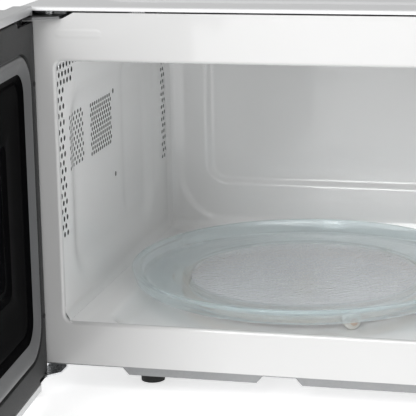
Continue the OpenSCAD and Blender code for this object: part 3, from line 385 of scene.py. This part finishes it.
def within(points, loop):
    """True for each point inside a closed outline."""
    x, y = points[:, 0][:, None], points[:, 1][:, None]
    a = np.asarray(loop, float)
    b = np.roll(a, -1, axis=0)
    crosses = (a[:, 1] > y) != (b[:, 1] > y)
    rise = np.where(b[:, 1] == a[:, 1], 1e-12, b[:, 1] - a[:, 1])
    left = x < (b[:, 0] - a[:, 0]) * (y - a[:, 1]) / rise + a[:, 0]
    return (crosses & left).sum(axis=1) % 2 == 1


def near(points, loop, margin):
    """True for each point closer than margin to a closed outline."""
    a = np.asarray(loop, float)
    b = np.roll(a, -1, axis=0)
    d = b - a
    along = ((points[:, None] - a) * d).sum(2) / np.maximum((d * d).sum(1), 1e-12)
    foot = a + np.clip(along, 0, 1)[..., None] * d
    return (np.linalg.norm(points[:, None] - foot, axis=2) < margin).any(1)


def subdivided(loop, step):
    """A closed outline with its long edges cut into steps."""
    out = []
    for a, b in zip(loop, loop[1:] + loop[:1]):
        n = max(1, math.ceil(math.dist(a, b) / step))
        out += [(a[0] + (b[0] - a[0]) * k / n, a[1] + (b[1] - a[1]) * k / n) for k in range(n)]
    return out


def relief(outline, holes, us, vs, height, thick, place, edge_step=6.0):
    """A pressed sheet: a flat outline with holes, raised by height(u, v) and set by place(u, v, h).

    Its inner points lie at us x vs, as far as they are clear of the outline and the holes.
    """
    loops = [subdivided(outline, edge_step)] + [list(h) for h in holes]
    grid = np.array([(u, v) for u in us for v in vs], float)
    keep = within(grid, loops[0]) & ~near(grid, loops[0], 0.8)
    centres = np.array([np.mean(h, axis=0) for h in loops[1:]]).reshape(-1, 2)
    reach = [np.linalg.norm(np.asarray(h) - c, axis=1).max() for h, c in zip(loops[1:], centres)]
    for hole, centre, r in zip(loops[1:], centres, reach):
        close = np.linalg.norm(grid - centre, axis=1) < r + 0.8
        if close.any():
            some = np.where(close)[0]
            keep[some] &= ~(within(grid[some], hole) | near(grid[some], hole, 0.7))
    coords, edges = [Vector(p) for p in grid[keep]], []
    for loop in loops:
        first = len(coords)
        coords += [Vector(p) for p in loop]
        edges += [(first + k, first + (k + 1) % len(loop)) for k in range(len(loop))]
    flat, _, tris, *_ = delaunay_2d_cdt(coords, edges, [], 1, 1e-5)
    flat = np.array([tuple(p) for p in flat])
    tris = np.array(tris)
    middles = flat[tris].mean(axis=1)
    solid = within(middles, loops[0])
    for hole, centre, r in zip(loops[1:], centres, reach):
        some = np.where(np.linalg.norm(middles - centre, axis=1) < r + 0.1)[0]
        if len(some):
            solid[some] &= ~within(middles[some], hole)
    tris = tris[solid]
    h = height(flat[:, 0], flat[:, 1])
    top = place(flat[:, 0], flat[:, 1], h)
    under = place(flat[:, 0], flat[:, 1], h - thick)
    n = len(flat)
    used = {}
    for t in tris:
        for a, b in ((t[0], t[1]), (t[1], t[2]), (t[2], t[0])):
            used[(min(a, b), max(a, b))] = used.get((min(a, b), max(a, b)), 0) + 1
    rim = [e for e, times in used.items() if times == 1]
    faces = [tuple(t) for t in tris] + [(t[2] + n, t[1] + n, t[0] + n) for t in tris]
    faces += [(a, b, b + n, a + n) for a, b in rim]
    return np.vstack([top, under]), faces


def step_between(value, low, high):
    """Smooth step from 0 at low to 1 at high."""
    t = np.clip((value - low) / (high - low), 0, 1)
    return t * t * (3 - 2 * t)


def from_edge(u, v, rect, r):
    """Distance inside a rounded rectangle (u0, v0, u1, v1); negative outside."""
    qu = np.abs(u - (rect[0] + rect[2]) / 2) - (rect[2] - rect[0]) / 2 + r
    qv = np.abs(v - (rect[1] + rect[3]) / 2) - (rect[3] - rect[1]) / 2 + r
    outside = np.hypot(np.maximum(qu, 0), np.maximum(qv, 0))
    return r - outside - np.minimum(np.maximum(qu, qv), 0)


def fillet(distance, r):
    """Rise of a quarter-round fillet at a distance from the other wall's plane."""
    t = np.clip(r - distance, 0, r * 0.7072)
    return r - np.sqrt(r * r - t * t)


def steps(*parts):
    """Points along a line; a part is (first, last, count), or (first, end, step) with a float step."""
    make = {int: np.linspace, float: np.arange}
    return np.concatenate([make[type(part[2])](*part) for part in parts])


def disc(u, v, r, n=14):
    """Outline of a round hole."""
    return arc(u, v, r, 0, 360, n)[:-1]


# ---- Cavity ----

corner_r = 9.0
top_r = 4.5
floor_r = 12.0
meet = 1 - math.sqrt(0.5)
vent_r = 2.05
vent_dv, vent_dw = 7.05, 5.76
vent_top = 183.7
first_hole = 4.6
rear_vent_r = 1.75
patch_r = 1.62
panel_depth = 2.8
ridge_depth = 1.0
outer_press, inner_press = 1.6, 3.6
depth_of = cavity_back - front


def hole_grid(v0, w0, columns, rows, dv, dw, r):
    """Staggered holes in a side wall: v runs back from the front, w up from the opening's edge."""
    return [
        disc(v0 + i * dv + (j % 2) * dv / 2, w0 - j * dw, r)
        for j in range(rows)
        for i in range(columns)
    ]


def left_wall_holes():
    """Two columns of holes by the mouth with three short rows, two at the back, and two patches."""
    holes = hole_grid(first_hole, vent_top, 2, 22, vent_dv, vent_dw, vent_r)
    for row, shift, last in ((0, 0, 7), (1, 0.5, 5), (2, 0, 5)):
        w = vent_top - row * vent_dw
        holes += [disc(first_hole + (i + shift) * vent_dv, w, vent_r) for i in range(2, last)]
    holes += hole_grid(273.5, vent_top, 2, 23, 6.2, 5.4, rear_vent_r)
    holes += hole_grid(28.2, 144, 6, 11, 6.8, 3.73, patch_r)
    holes += hole_grid(85.8, 142.7, 10, 11, 5.3, 3.7, patch_r)
    holes += [disc(143.5, 144.1, vent_r), disc(144.5, 77.8, vent_r)]
    return holes


def side_wall_height(v, w):
    """Inward rise of a side wall: the pressed panel and the round corners to its neighbours."""
    panel = -panel_depth * step_between(from_edge(v, w, (25, 16, 245, 170), 34), 0, 20)
    ridge = -ridge_depth * step_between(from_edge(v, w, (160, 40, 262, 172), 14), 0, 12)
    back = fillet(depth_of - v, corner_r)
    low = fillet(w + 3, floor_r)
    high = fillet(cavity_top - opening_z - w, top_r)
    return panel + ridge + back + low + high


def side_wall(name, plane, side, holes, node):
    """A cavity side wall; side is +1 where the inside is at larger X."""
    v0, v1 = lip_r + 0.5, depth_of - corner_r * meet
    w0, w1 = -3 + floor_r * meet, cavity_top - opening_z - top_r * meet
    us = steps((v0 + 3, v1 - 10, 5.0), (v1 - 9, v1, 8))
    vs = steps((w0, w0 + 10, 8), (w0 + 13, w1 - 8, 5.0), (w1 - 7, w1, 5))
    verts, faces = relief(
        [(v0, w0), (v1, w0), (v1, w1), (v0, w1)],
        holes,
        us,
        vs,
        side_wall_height,
        thin,
        lambda v, w, h: np.column_stack([plane + side * (h - 0.06), front + v, opening_z + w]),
    )
    add_piece(name, verts, faces, "cavity_enamel", "cabinet", [node])


def back_wall_height(u, w):
    """Forward rise of the back wall: two nested pressings and the round corners."""
    outer = -outer_press * step_between(from_edge(u, w, (-141, 3, 141, 190), 42), 0, 7)
    inner = -inner_press * step_between(from_edge(u, w, (-116, 37, 116, 178), 20), 0, 6)
    wide = (opening_x1 - opening_x0) / 2
    sides = fillet(wide - np.abs(u), corner_r)
    low = fillet(w + 3, corner_r)
    high = fillet(cavity_top - opening_z - w, top_r)
    return outer + inner + sides + low + high


def back_wall():
    wide = (opening_x1 - opening_x0) / 2 - corner_r * meet
    w0, w1 = -3 + corner_r * meet, cavity_top - opening_z - top_r * meet
    us = steps((-wide, -wide + 36, 22), (-wide + 39, wide - 36, 4.0), (wide - 36, wide, 22))
    vs = steps((w0, w0 + 50, 30), (w0 + 53, w1 - 22, 5.0), (w1 - 20, w1, 12))
    verts, faces = relief(
        [(-wide, w0), (wide, w0), (wide, w1), (-wide, w1)],
        [],
        us,
        vs,
        back_wall_height,
        sheet,
        lambda u, w, h: np.column_stack([centre_x + u, cavity_back - h, opening_z + w]),
    )
    add_piece("back_wall", verts, faces, "cavity_enamel", "cabinet", ["cavity_back_wall"])


pan_depth = floor_z - box_mm("cavity_floor")[0][2] - 0.8


def floor_height(u, v):
    """Rise of the cavity floor: the round pan with its soft slope, and the round corners."""
    pan = -pan_depth * step_between(from_edge(u, v, (-124, 6, 124, 286), 30), 0, 13)
    wide = (opening_x1 - opening_x0) / 2
    return pan + fillet(wide - np.abs(u), floor_r) + fillet(depth_of - v, corner_r)


def cavity_floor():
    wide = (opening_x1 - opening_x0) / 2 - floor_r * meet
    v0, v1 = 1.2, depth_of - corner_r * meet
    us = steps((-wide, -wide + 40, 24), (-wide + 44, wide - 42, 6.0), (wide - 40, wide, 24))
    vs = steps((v0, v0 + 28, 18), (v0 + 32, v1 - 30, 6.0), (v1 - 28, v1, 16))
    verts, faces = relief(
        [(-wide, v0), (wide, v0), (wide, v1), (-wide, v1)],
        [disc(0, hub_y - front, 9, 40)],
        us,
        vs,
        floor_height,
        sheet,
        lambda u, v, h: np.column_stack([centre_x + u, front + v, floor_z + h]),
    )
    add_piece("floor_pan", verts, faces, "cavity_enamel", "cabinet", ["cavity_floor"])


def ceiling():
    wide = (opening_x1 - opening_x0) / 2
    edge = top_r * meet

    def height(u, v):
        return fillet(wide - np.abs(u), top_r) + fillet(depth_of - v, top_r)

    x1, y1 = wide - edge, depth_of - edge
    us = steps((-x1, -wide + 12, 6), (-wide + 20, wide - 18, 10.0), (wide - 12, x1, 6))
    vs = steps((6, depth_of - 14, 10.0), (depth_of - 10, y1, 6))
    verts, faces = relief(
        [(-x1, lip_r), (x1, lip_r), (x1, y1), (-x1, y1)],
        [],
        us,
        vs,
        height,
        sheet,
        lambda u, v, h: np.column_stack([centre_x + u, front + v, cavity_top - h]),
    )
    add_piece("ceiling", verts, faces, "cavity_enamel", "cabinet", ["cavity_ceiling"])


def right_wall_holes():
    """Two columns of holes by the mouth, a small patch and the opening behind the mica sheet."""
    holes = hole_grid(first_hole, vent_top, 2, 22, vent_dv, vent_dw, vent_r)
    holes += hole_grid(258, 165, 5, 6, 5.46, 3.73, patch_r)
    holes.append(rounded(114, 83, 174, 131, 3, 4))
    return holes


side_wall("left_wall", opening_x0, 1, left_wall_holes(), "cavity_left_wall")
side_wall("right_wall", opening_x1, -1, right_wall_holes(), "cavity_right_wall")
back_wall()
cavity_floor()
ceiling()

# ---- Front plate ----

flange_pad_rise = 0.22
notch_depth = 4.2
wrap_gap = 0.9
hook_x = 92.0
hook_heights = (opening_z + 27, opening_z + 171)
rod_low, rod_high = 44.5, 51.5


def flange_height(x, z):
    """Forward rise of the front plate: the small raised pad beside the top hinge."""
    pad = (centre_x - 148, opening_z + 204.8, centre_x - 114.5, opening_z + 212)
    return flange_pad_rise * step_between(from_edge(x, z, pad, 3), 0, 1.8)


def mouth_outline(grow):
    """The outline of the cavity's mouth, larger by grow all round."""
    shape = (opening_x0 - grow, opening_z - grow, opening_x1 + grow, cavity_top + grow)
    return rounded(*shape, opening_r + grow, 12)


def front_plate():
    x0, z0 = flange_low[0], flange_low[2]
    x1, z1 = flange_high[0], flange_high[2] - wrap_gap
    notch = centre_x - 168
    notch_z = z1 - notch_depth
    outline = [(x0, z0), (x1, z0), (x1, z1), (notch + 34, z1), (notch + 26, notch_z)]
    outline += [(notch, notch_z), (notch, z1), (x0, z1)]
    holes = [mouth_outline(lip_r)]
    holes += [rounded(hook_x - 3, z - 6, hook_x + 5.5, z + 15, 1, 3) for z in hook_heights]
    holes.append(rounded(111.5, rod_low, 122.5, rod_high, 1, 3))
    holes.append(rounded(150, 120, 225, 230, 6, 4))
    us = steps(
        (x0 + 6, centre_x - 152, 8.0),
        (centre_x - 151, centre_x - 112, 1.4),
        (centre_x - 104, x1, 12.0),
    )
    vs = steps(
        (z0 + 6, opening_z + 200, 10.0),
        (opening_z + 203.4, opening_z + 213.6, 0.8),
        (z1 - 7, z1 - 7, 1),
    )
    verts, faces = relief(
        outline, holes, us, vs, flange_height, sheet,
        lambda x, z, h: np.column_stack([x, front + 0.5 - h, z]), 12,
    )
    verts = [tuple(v) for v in verts]
    # The lip rolls from the face into the cavity, a closed ring of the same sheet

    def mouth_ring(grow, depth):
        return at_y(mouth_outline(grow), front + 0.5 + depth)

    turns = [math.radians(a) for a in np.linspace(0, 90, 9)]
    rings = [mouth_ring((lip_r - 0.01) * (1 - math.sin(a)), lip_r * (1 - math.cos(a))) for a in turns]
    rings += [mouth_ring(0, lip_r + 1), mouth_ring(0.7, lip_r + 1), mouth_ring(lip_r - 0.01, sheet)]
    more, more_faces = loft(rings, close=True, start=len(verts))
    verts += more
    faces = list(faces) + more_faces
    add_piece("front_plate", verts, faces, "flange_enamel", "cabinet", ["front_flange"])


front_plate()

# ---- Cabinet ----

wrap_r = 2.5
hem_r = 2.0
wrap_low = cab_low[2]
pad_rise = 1.5
cab_top = cab_high[2] - pad_rise
pad_x0 = centre_x - 124
pad_x1 = half_w - 40
pad_y0 = front + 29
pad_y1 = cab_high[1] - 24
slot_long, slot_wide = 17, 3


def wrap_place(s, t, h):
    """Bends the cabinet's sheet: s runs round it from the left lower edge, t back from the front."""
    side = cab_top - wrap_r - wrap_low
    bend = wrap_r * math.pi / 2
    across = 2 * (half_w - wrap_r)
    spans = np.array([side, side + bend, side + bend + across, side + 2 * bend + across])
    roll = np.clip(t / (hem_r * math.pi / 2), 0, 1) * math.pi / 2
    drop = hem_r * (1 - np.sin(roll))
    y = front + np.where(t < hem_r * math.pi / 2, hem_r * (1 - np.cos(roll)), hem_r + t - hem_r * math.pi / 2)
    out = h - drop
    a1 = np.clip((s - spans[0]) / wrap_r, 0, math.pi / 2)
    a2 = np.clip((s - spans[2]) / wrap_r, 0, math.pi / 2)
    turn = a1 + a2
    nx, nz = -np.cos(turn), np.sin(turn)
    x = -half_w + wrap_r * (1 - np.cos(a1)) + np.clip(s - spans[1], 0, across) + wrap_r * np.sin(a2)
    z = wrap_low + np.clip(s, 0, side) + wrap_r * np.sin(a1) - wrap_r * (1 - np.cos(a2))
    z -= np.clip(s - spans[3], 0, None)
    return np.column_stack([x + nx * out, y, z + nz * out])


def outer_cabinet():
    side = cab_top - wrap_r - wrap_low
    bend = wrap_r * math.pi / 2
    across = 2 * (half_w - wrap_r)
    total = 2 * (side + bend) + across
    depth = cab_high[1] - front - hem_r + hem_r * math.pi / 2

    def s_at(x):
        return side + bend + x + half_w - wrap_r

    def t_at(y):
        return y - front - hem_r + hem_r * math.pi / 2

    def height(s, t):
        pad = (s_at(pad_x0), t_at(pad_y0), s_at(pad_x1), t_at(pad_y1))
        return pad_rise * step_between(from_edge(s, t, pad, 24), 0, 6)

    def slots(s0, y0, z_step, columns, rows, way):
        """Upright cooling slots; way is the sign of s along which they run from s0."""
        out = []
        for i in range(columns):
            for j in range(rows):
                a = s0 + way * j * z_step
                low, high = min(a, a + way * slot_long), max(a, a + way * slot_long)
                t = t_at(y0 + i * 7)
                out.append(rounded(low, t, high, t + slot_wide, 1.4, 4))
        return out

    right_low = total - (150 - wrap_low)
    left_low = 200 - wrap_low
    holes = slots(right_low, 60, 24, 12, 3, -1) + slots(left_low, 70, 24, 10, 2, 1)
    pad_edge = s_at(pad_x0)
    far_pad_edge = s_at(pad_x1)
    us = steps(
        (8, side - 2, 16.0),
        (side, side + bend, 9),
        (side + bend + 8, pad_edge - 3, 12.0),
        (pad_edge - 2, pad_edge + 34, 28),
        (pad_edge + 42, far_pad_edge - 34, 12.0),
        (far_pad_edge - 32, far_pad_edge + 2, 28),
        (total - side - bend, total - side, 9),
        (total - side + 12, total - 4, 16.0),
    )
    near_edge = t_at(pad_y0)
    far_edge = t_at(pad_y1)
    vs = steps(
        (0.5, hem_r * math.pi / 2, 6),
        (8, near_edge - 3, 9.0),
        (near_edge - 1, near_edge + 34, 30),
        (near_edge + 42, far_edge - 34, 12.0),
        (far_edge - 32, far_edge + 1, 28),
        (depth - 8, depth - 8, 1),
    )
    edge = [(s, 0) for s in us if 0 < s < total]
    outline = [(0, 0)] + edge + [(total, 0), (total, depth)]
    outline += [(s, depth) for s, _ in reversed(edge)] + [(0, depth)]
    verts, faces = relief(outline, holes, us, vs, height, sheet, wrap_place, 20)
    piece = add_piece("cabinet_wrap", verts, faces, "cabinet_paint", "cabinet", ["outer_cabinet"])
    piece.data.materials.append(wrap_inside_painted_shade)
    # Inward faces behind the front edge take the dark steel: painted shade.
    middle = Vector((0, 0, cab_top / 2)) * MM
    for face in piece.data.polygons:
        away = face.center - middle
        away.y = 0
        face.material_index = int(face.normal.dot(away) < 0 and face.center.y > (front + 4) * MM)


outer_cabinet()

# ---- Glass plate ----

plate_low, plate_high = box_mm("glass_plate")
plate_r = (plate_high[0] - plate_low[0]) / 2
rim_z = plate_high[2]
disc_low = plate_low[2] + 5
ring_low = disc_low + 3.45
lug_off = 6.6


def turned(profile, cx, cy, n):
    """Rings of a profile of (radius, z) points turned about a vertical axis."""
    angles = [2 * math.pi * k / n for k in range(n)]
    return [[(cx + r * math.cos(a), cy + r * math.sin(a), z) for a in angles] for r, z in profile]


def glass_plate():
    low = ring_low
    profile = [(0.05, disc_low), (disc_r - 1, disc_low), (disc_r, disc_low + 0.2)]
    profile += [(disc_r + 3, low - 0.2), (disc_r + 4, low)]
    profile += [(plate_r - 7, low)] + arc(plate_r - 7, low + 5, 5, -90, -20, 7)[1:]
    profile += [(plate_r - 0.4, rim_z - 3)] + arc(plate_r - 1.7, rim_z - 1.7, 1.7, 0, 180, 10)
    profile += [(plate_r - 3.9, rim_z - 3.2)]
    profile += arc(plate_r - 15.5, low + 15, 11, -35, -90, 10)
    profile += [(disc_r + 3, low + 4), (disc_r + 1, low + 3.7), (disc_r - 1.5, low + 2.2)]
    profile += [(disc_r - 3, low + 2), (0.05, low + 2)]
    rings = turned(profile, centre_x, hub_y, 192)
    verts, faces = loft(rings, cap_first=True, cap_last=True)
    add_piece("plate", verts, faces, "plate_glass", "plate", ["glass_plate"], 40)
    # Three pairs of round-ended lugs under the hub
    hub = Vector((centre_x, hub_y, 0))
    for a in (90, 210, 330):
        turn = Matrix.Rotation(math.radians(a), 3, "Z")
        for side, letter in ((-1, "a"), (1, "b")):
            half = [(r, side * lug_off + w) for r, w in rounded(15.5, -2, 24.5, 2, 1.9, 5)]
            top = [(r, side * lug_off + w) for r, w in rounded(14.8, -2.6, 25.2, 2.6, 2.4, 5)]
            rings = []
            for line, z in ((half, -4.6), (half, -4.2), (half, -1.2), (top, 0.1)):
                rings.append([tuple(hub + turn @ Vector((x, y, disc_low + z))) for x, y in line])
            verts, faces = loft(rings, cap_first=True, cap_last=True)
            lug = add_piece(f"plate_lug_{a}_{letter}", verts, faces, "plate_glass", "plate", [], 40)
            lug.data.materials[0] = lug_glass


glass_plate()

# ---- Door, built closed and turned open about the hinge ----

hinge = joints["door_hinge"]["pos_m"]
hinge_x, hinge_y = hinge[0] / MM, hinge[1] / MM
door_open = -joints["door_hinge"]["range_deg"][0]
door_x0 = -half_w
door_width, door_thick = 344.5, 37
door_x1 = door_x0 + door_width
door_back = front - 1
door_front = door_back - door_thick
past = door_back + 2
door_z = box_mm("door_frame")[0][2]
door_top = box_mm("door_frame")[1][2]
lip_y = door_back - 13.5
lip_step = 2.5
cover = (door_x0 + 0.6, opening_z - 40.3, door_x1 - 5.7, opening_z + 220.8)
groove = (door_x0 + 9.2, opening_z - 22, door_x1 - 16.5, opening_z + 199)
window = (door_x0 + 26, opening_z - 1.5, door_x1 - 34.5, opening_z + 180)
mould = (*groove, 28.0)
pane = (*window, 12.0)
arm_thick = 1.5
arm_top = box_mm("top_hinge")[1][2] - 4.79
arm_z = (arm_top - arm_thick, arm_top)
arm_low = (box_mm("bottom_hinge")[0][2], box_mm("bottom_hinge")[0][2] + arm_thick)


def turn_open(verts):
    """Turns closed-door points to the rest pose."""
    a = math.radians(-door_open)
    v = np.asarray(verts, float)
    x, y = v[:, 0] - hinge_x, v[:, 1] - hinge_y
    turned_x = hinge_x + x * math.cos(a) - y * math.sin(a)
    turned_y = hinge_y + x * math.sin(a) + y * math.cos(a)
    return np.column_stack([turned_x, turned_y, v[:, 2]])


def cutter(low, high):
    """A box in the closed door's place, turned open, for a boolean cut."""
    x0, y0, z0 = low
    x1, y1, z1 = high
    corners = [(x, y, z) for x in (x0, x1) for y in (y0, y1) for z in (z0, z1)]
    faces = [(0, 1, 3, 2), (4, 6, 7, 5), (0, 4, 5, 1), (2, 3, 7, 6), (0, 2, 6, 4), (1, 5, 7, 3)]
    return turn_open(corners), faces


def cut(piece, shapes):
    """Cuts closed shapes (vertices in millimetres, faces) out of a piece's mesh."""
    for verts, faces in shapes:
        mesh = bpy.data.meshes.new("cut")
        mesh.from_pydata([Vector(v) * MM for v in verts], [], faces)
        bm = bmesh.new()
        bm.from_mesh(mesh)
        bmesh.ops.recalc_face_normals(bm, faces=bm.faces)
        bm.to_mesh(mesh)
        bm.free()
        tool = bpy.data.objects.new("cut", mesh)
        bpy.context.scene.collection.objects.link(tool)
        modifier = piece.modifiers.new("cut", "BOOLEAN")
        modifier.object = tool
        modifier.operation = "DIFFERENCE"
        modifier.solver = "EXACT"
        bpy.context.view_layer.update()
        made = bpy.data.meshes.new_from_object(piece.evaluated_get(bpy.context.evaluated_depsgraph_get()))
        piece.modifiers.clear()
        piece.data = made
        bpy.data.objects.remove(tool)
    bm = bmesh.new()
    bm.from_mesh(piece.data)
    bmesh.ops.holes_fill(bm, edges=[e for e in bm.edges if e.is_boundary], sides=8)
    bm.to_mesh(piece.data)
    bm.free()
    piece.data.shade_smooth()
    piece.data.set_sharp_from_angle(angle=math.radians(32))


def hinge_rooms():
    """Room for the two hinge plates' arms: the upper one's cutter, then the lower one's."""
    rooms = []
    for (low, high), reach in ((arm_z, 33), (arm_low, 17.5)):
        near_corner = (door_x0 - 2, hinge_y - 6.5, low - 0.6)
        rooms.append(cutter(near_corner, (hinge_x + reach, past, high + 0.6)))
    return rooms


def rounded_edge():
    """The material outside the door's rounded hinge edge."""
    edge_r = 7.4
    outline = [(hinge_x - 12, hinge_y), (hinge_x - 12, door_back + 3), (hinge_x, door_back + 3)]
    outline += arc(hinge_x, hinge_y, edge_r, 90, 180, 14)
    rings = [[(x, y, z) for x, y in outline] for z in (door_z - 2, door_top + 2)]
    verts, faces = loft(rings, cap_first=True, cap_last=True)
    return turn_open(verts), faces


def door_frame():
    outer = (door_x0, door_z, door_x1, door_top - lip_step)
    back = (door_x0 + 0.2, door_z, door_x1 - 1.5, door_top)
    front_hole = (door_x0 + 46, 50, door_x1 - 40, 234)
    hollow = (door_x0 + 4, door_z + 6, door_x1 - 5.5, door_top - 6)
    rings = [at_y(inset(front_hole, 0.4, 7.6), door_front + 3)]
    rings.append(at_y(inset(front_hole, 0, 8), door_front + 0.6))
    rings.append(at_y(inset(front_hole, -0.6, 8.6), door_front))
    edge = 3.0
    for a in np.linspace(90, 0, 8):
        d = edge * (1 - math.cos(math.radians(a)))
        rings.append(at_y(inset(outer, d, 7 - d * 0.6), door_front + edge * (1 - math.sin(math.radians(a)))))
    rings.append(at_y(inset(outer, 0, 7), lip_y - 0.6))
    rings.append(at_y(inset(outer, 0.5, 6.5), lip_y - 0.1))
    rings.append(at_y(inset(back, 0.7, 5.2), lip_y + 0.1))
    rings.append(at_y(inset(back, 0.1, 5.1), lip_y + 0.7))
    for a in np.linspace(0, 90, 6):
        d = 0.8 * (1 - math.cos(math.radians(a)))
        rings.append(at_y(inset(back, d, 5 - d), door_back - 0.8 + 0.8 * math.sin(math.radians(a))))
    rings.append(at_y(inset(hollow, -0.3, 4), door_back))
    rings.append(at_y(inset(hollow, 0, 4), door_back - 0.5))
    rings.append(at_y(inset(hollow, 0, 4), door_front + 3))
    verts, faces = loft(rings, close=True)
    piece = add_piece("door_shell", turn_open(verts), faces, "door_silver", "door", ["door_frame"])
    shapes = hinge_rooms()
    shapes.append(cutter((door_x0 - 2, door_back - 8, cover[1] - 0.2), (door_x0 + 4.3, past, cover[3] + 0.2)))
    shapes.append(cutter((door_x0 - 2, door_back - 14, door_z - 2), (door_x0 + 20, past, cover[1] - 0.2)))
    shapes.append(rounded_edge())
    cut(piece, shapes)


def between(a, b, t):
    """A rectangle and corner radius part of the way from a to b."""
    return [p + (q - p) * t for p, q in zip(a, b)]


def shrunk(shape, d):
    """A rectangle and corner radius (x0, z0, x1, z1, r) pulled in by d."""
    return [shape[0] + d, shape[1] + d, shape[2] - d, shape[3] - d, max(0.6, shape[4] - d)]


def cover_ring(shape, depth):
    """A ring of the door's cover, depth below its face."""
    return at_y(rounded(*shape[:4], shape[4], 12), door_back - depth)


lip_end = 0.72


def slope_depth(t):
    """Depth of the moulding from the groove, 0, to the window, 1."""
    return 0.3 + 5.4 * (max(0, t - 0.25) / 0.75) ** 1.15


def choke_cover():
    """The cover's flat border, from the door's edge to the groove."""
    edge = (*cover, 3.6)
    rings = [cover_ring(shrunk(edge, 1.6), 8), cover_ring(edge, 8)]
    for a in np.linspace(0, 90, 6):
        turn = math.radians(a)
        rings.append(cover_ring(shrunk(edge, 0.9 * (1 - math.cos(turn))), 0.9 - 0.9 * math.sin(turn)))
    fall = ((-0.7, 0), (-0.2, 0.15), (0.1, 0.6), (0.4, 1.9), (0.8, 2.2), (0.8, 3.0))
    rings += [cover_ring(shrunk(mould, d), depth) for d, depth in fall]
    rings.append(cover_ring(shrunk(edge, 2.4), 2.9))
    verts, faces = loft(rings, close=True)
    piece = add_piece("door_cover", turn_open(verts), faces, "cover_grey", "door", ["choke_cover"])
    shapes = hinge_rooms()[1:]
    shapes.append(cutter((door_x0 - 2, hinge_y - 10, arm_z[0] - 2.4), (cover[0] + 40, past, cover[3] + 1)))
    shapes.append(rounded_edge())
    for z in hook_heights:
        shapes.append(cutter((hook_x - 2.4, door_back - 9, z - 5.2), (hook_x + 2.4, past, z + 13.8)))
    cut(piece, shapes)


def door_moulding():
    """The moulding inside the groove: a rounded lip, then a fall towards the window."""
    rings = [cover_ring(shrunk(mould, d), depth) for d, depth in ((0.9, 2.9), (0.9, 2.1), (1.3, 1.9))]
    for a in np.linspace(0, 75, 8):
        turn = math.radians(a)
        rings.append(cover_ring(shrunk(mould, 1.6 + 3.2 * (1 - math.cos(turn))), 1.6 - 1.4 * math.sin(turn)))
    for t in np.linspace(0.3, lip_end, 5):
        rings.append(cover_ring(between(mould, pane, t), slope_depth(t)))
    rings.append(cover_ring(between(mould, pane, lip_end), slope_depth(lip_end) + 1.4))
    rings.append(cover_ring(between(mould, pane, 0.3), 3.2))
    verts, faces = loft(rings, close=True)
    piece = add_piece("door_moulding", turn_open(verts), faces, "cover_grey", "door", [])
    # Its lighter grey is painted light on the same plastic as the cover.
    piece.data.materials[0] = moulding_painted_light_grey


def inner_window():
    """The black window: the lower part of the slope, the pane and its stepped middle."""

    def ring(d, depth, r=None):
        corner = max(2, 11.6 - d * 0.2) if r is None else r
        shape = [window[0] + d, window[1] + d, window[2] - d, window[3] - d]
        return at_y(rounded(*shape, corner, 12), door_back - depth)

    rings = [ring(-1.8, 9.4), ring(-1.8, 8.1)]
    rings.append(cover_ring(between(mould, pane, lip_end), slope_depth(lip_end) + 1.2))
    rings += [cover_ring(between(mould, pane, t), slope_depth(t)) for t in np.linspace(lip_end, 1, 8)]
    edge = ((0.5, 6.3), (1.0, 6.2), (1.6, 5.5), (3, 5.3), (8, 5.6), (20, 5.9), (34, 6.0))
    rings += [ring(d, depth) for d, depth in edge]
    stepped = ((36, 5.6, 9), (37.2, 5.7, 8.5), (38.4, 6.6, 8), (44.6, 7.6, 7))
    stepped += ((45.6, 7.3, 6.5), (46.6, 7.8, 6), (60, 7.9, 5))
    rings += [ring(*step) for step in stepped]
    verts, faces = loft(rings, cap_first=True, cap_last=True)
    add_piece("door_window", turn_open(verts), faces, "window_black", "door", ["inner_window"], 40)


door_frame()
choke_cover()
door_moulding()
inner_window()

# ---- Stage, light and camera ----


def studio():
    bpy.ops.mesh.primitive_plane_add(size=14, location=(0, 0, -0.0002))
    ground = bpy.context.object
    ground.name = "ground"
    mat, _, bsdf = shader("ground", (0.93, 0.93, 0.93), 0.9)
    bsdf.inputs["Emission Color"].default_value = (1, 1, 1, 1)
    bsdf.inputs["Emission Strength"].default_value = 0.6
    ground.data.materials.append(mat)
    world = bpy.data.worlds.new("studio")
    world.use_nodes = True
    world.node_tree.nodes["Background"].inputs["Color"].default_value = (1, 1, 1, 1)
    world.node_tree.nodes["Background"].inputs["Strength"].default_value = 0.46
    bpy.context.scene.world = world

    def lamp(name, place, aim, size, power):
        data = bpy.data.lights.new(name, "AREA")
        data.shape = "RECTANGLE"
        data.size, data.size_y = size
        data.energy = power
        lamp_object = bpy.data.objects.new(name, data)
        lamp_object.location = place
        lamp_object.rotation_euler = (Vector(aim) - Vector(place)).to_track_quat("-Z", "Y").to_euler()
        bpy.context.scene.collection.objects.link(lamp_object)

    lamp("key", (-0.5, -2.3, 1.15), (-0.05, 0, 0.12), (0.6, 1.6), 28)
    lamp("top", (-0.15, -1.15, 1.8), (-0.07, -0.05, 0.06), (0.9, 0.7), 7)


def camera():
    """The viewing angle: yaw to the left, pitch down and a small roll."""
    yaw, pitch, roll = 0.2452, 0.2364, -0.0189
    forward = Vector((-math.sin(yaw) * math.cos(pitch), math.cos(yaw) * math.cos(pitch), -math.sin(pitch)))
    right = Vector((math.cos(yaw), math.sin(yaw), 0))
    up = right.cross(forward)
    right, up = math.cos(roll) * right + math.sin(roll) * up, math.cos(roll) * up - math.sin(roll) * right
    data = bpy.data.cameras.new("camera")
    data.sensor_width = 36
    data.lens = 147.47
    eye = bpy.data.objects.new("camera", data)
    rows = [(right[i], up[i], -forward[i], (0.1705, -1.2938, 0.4162)[i]) for i in range(3)]
    eye.matrix_world = Matrix([*rows, (0, 0, 0, 1)])
    bpy.context.scene.collection.objects.link(eye)
    bpy.context.scene.camera = eye
    bpy.context.scene.view_settings.view_transform = "Standard"


studio()
camera()
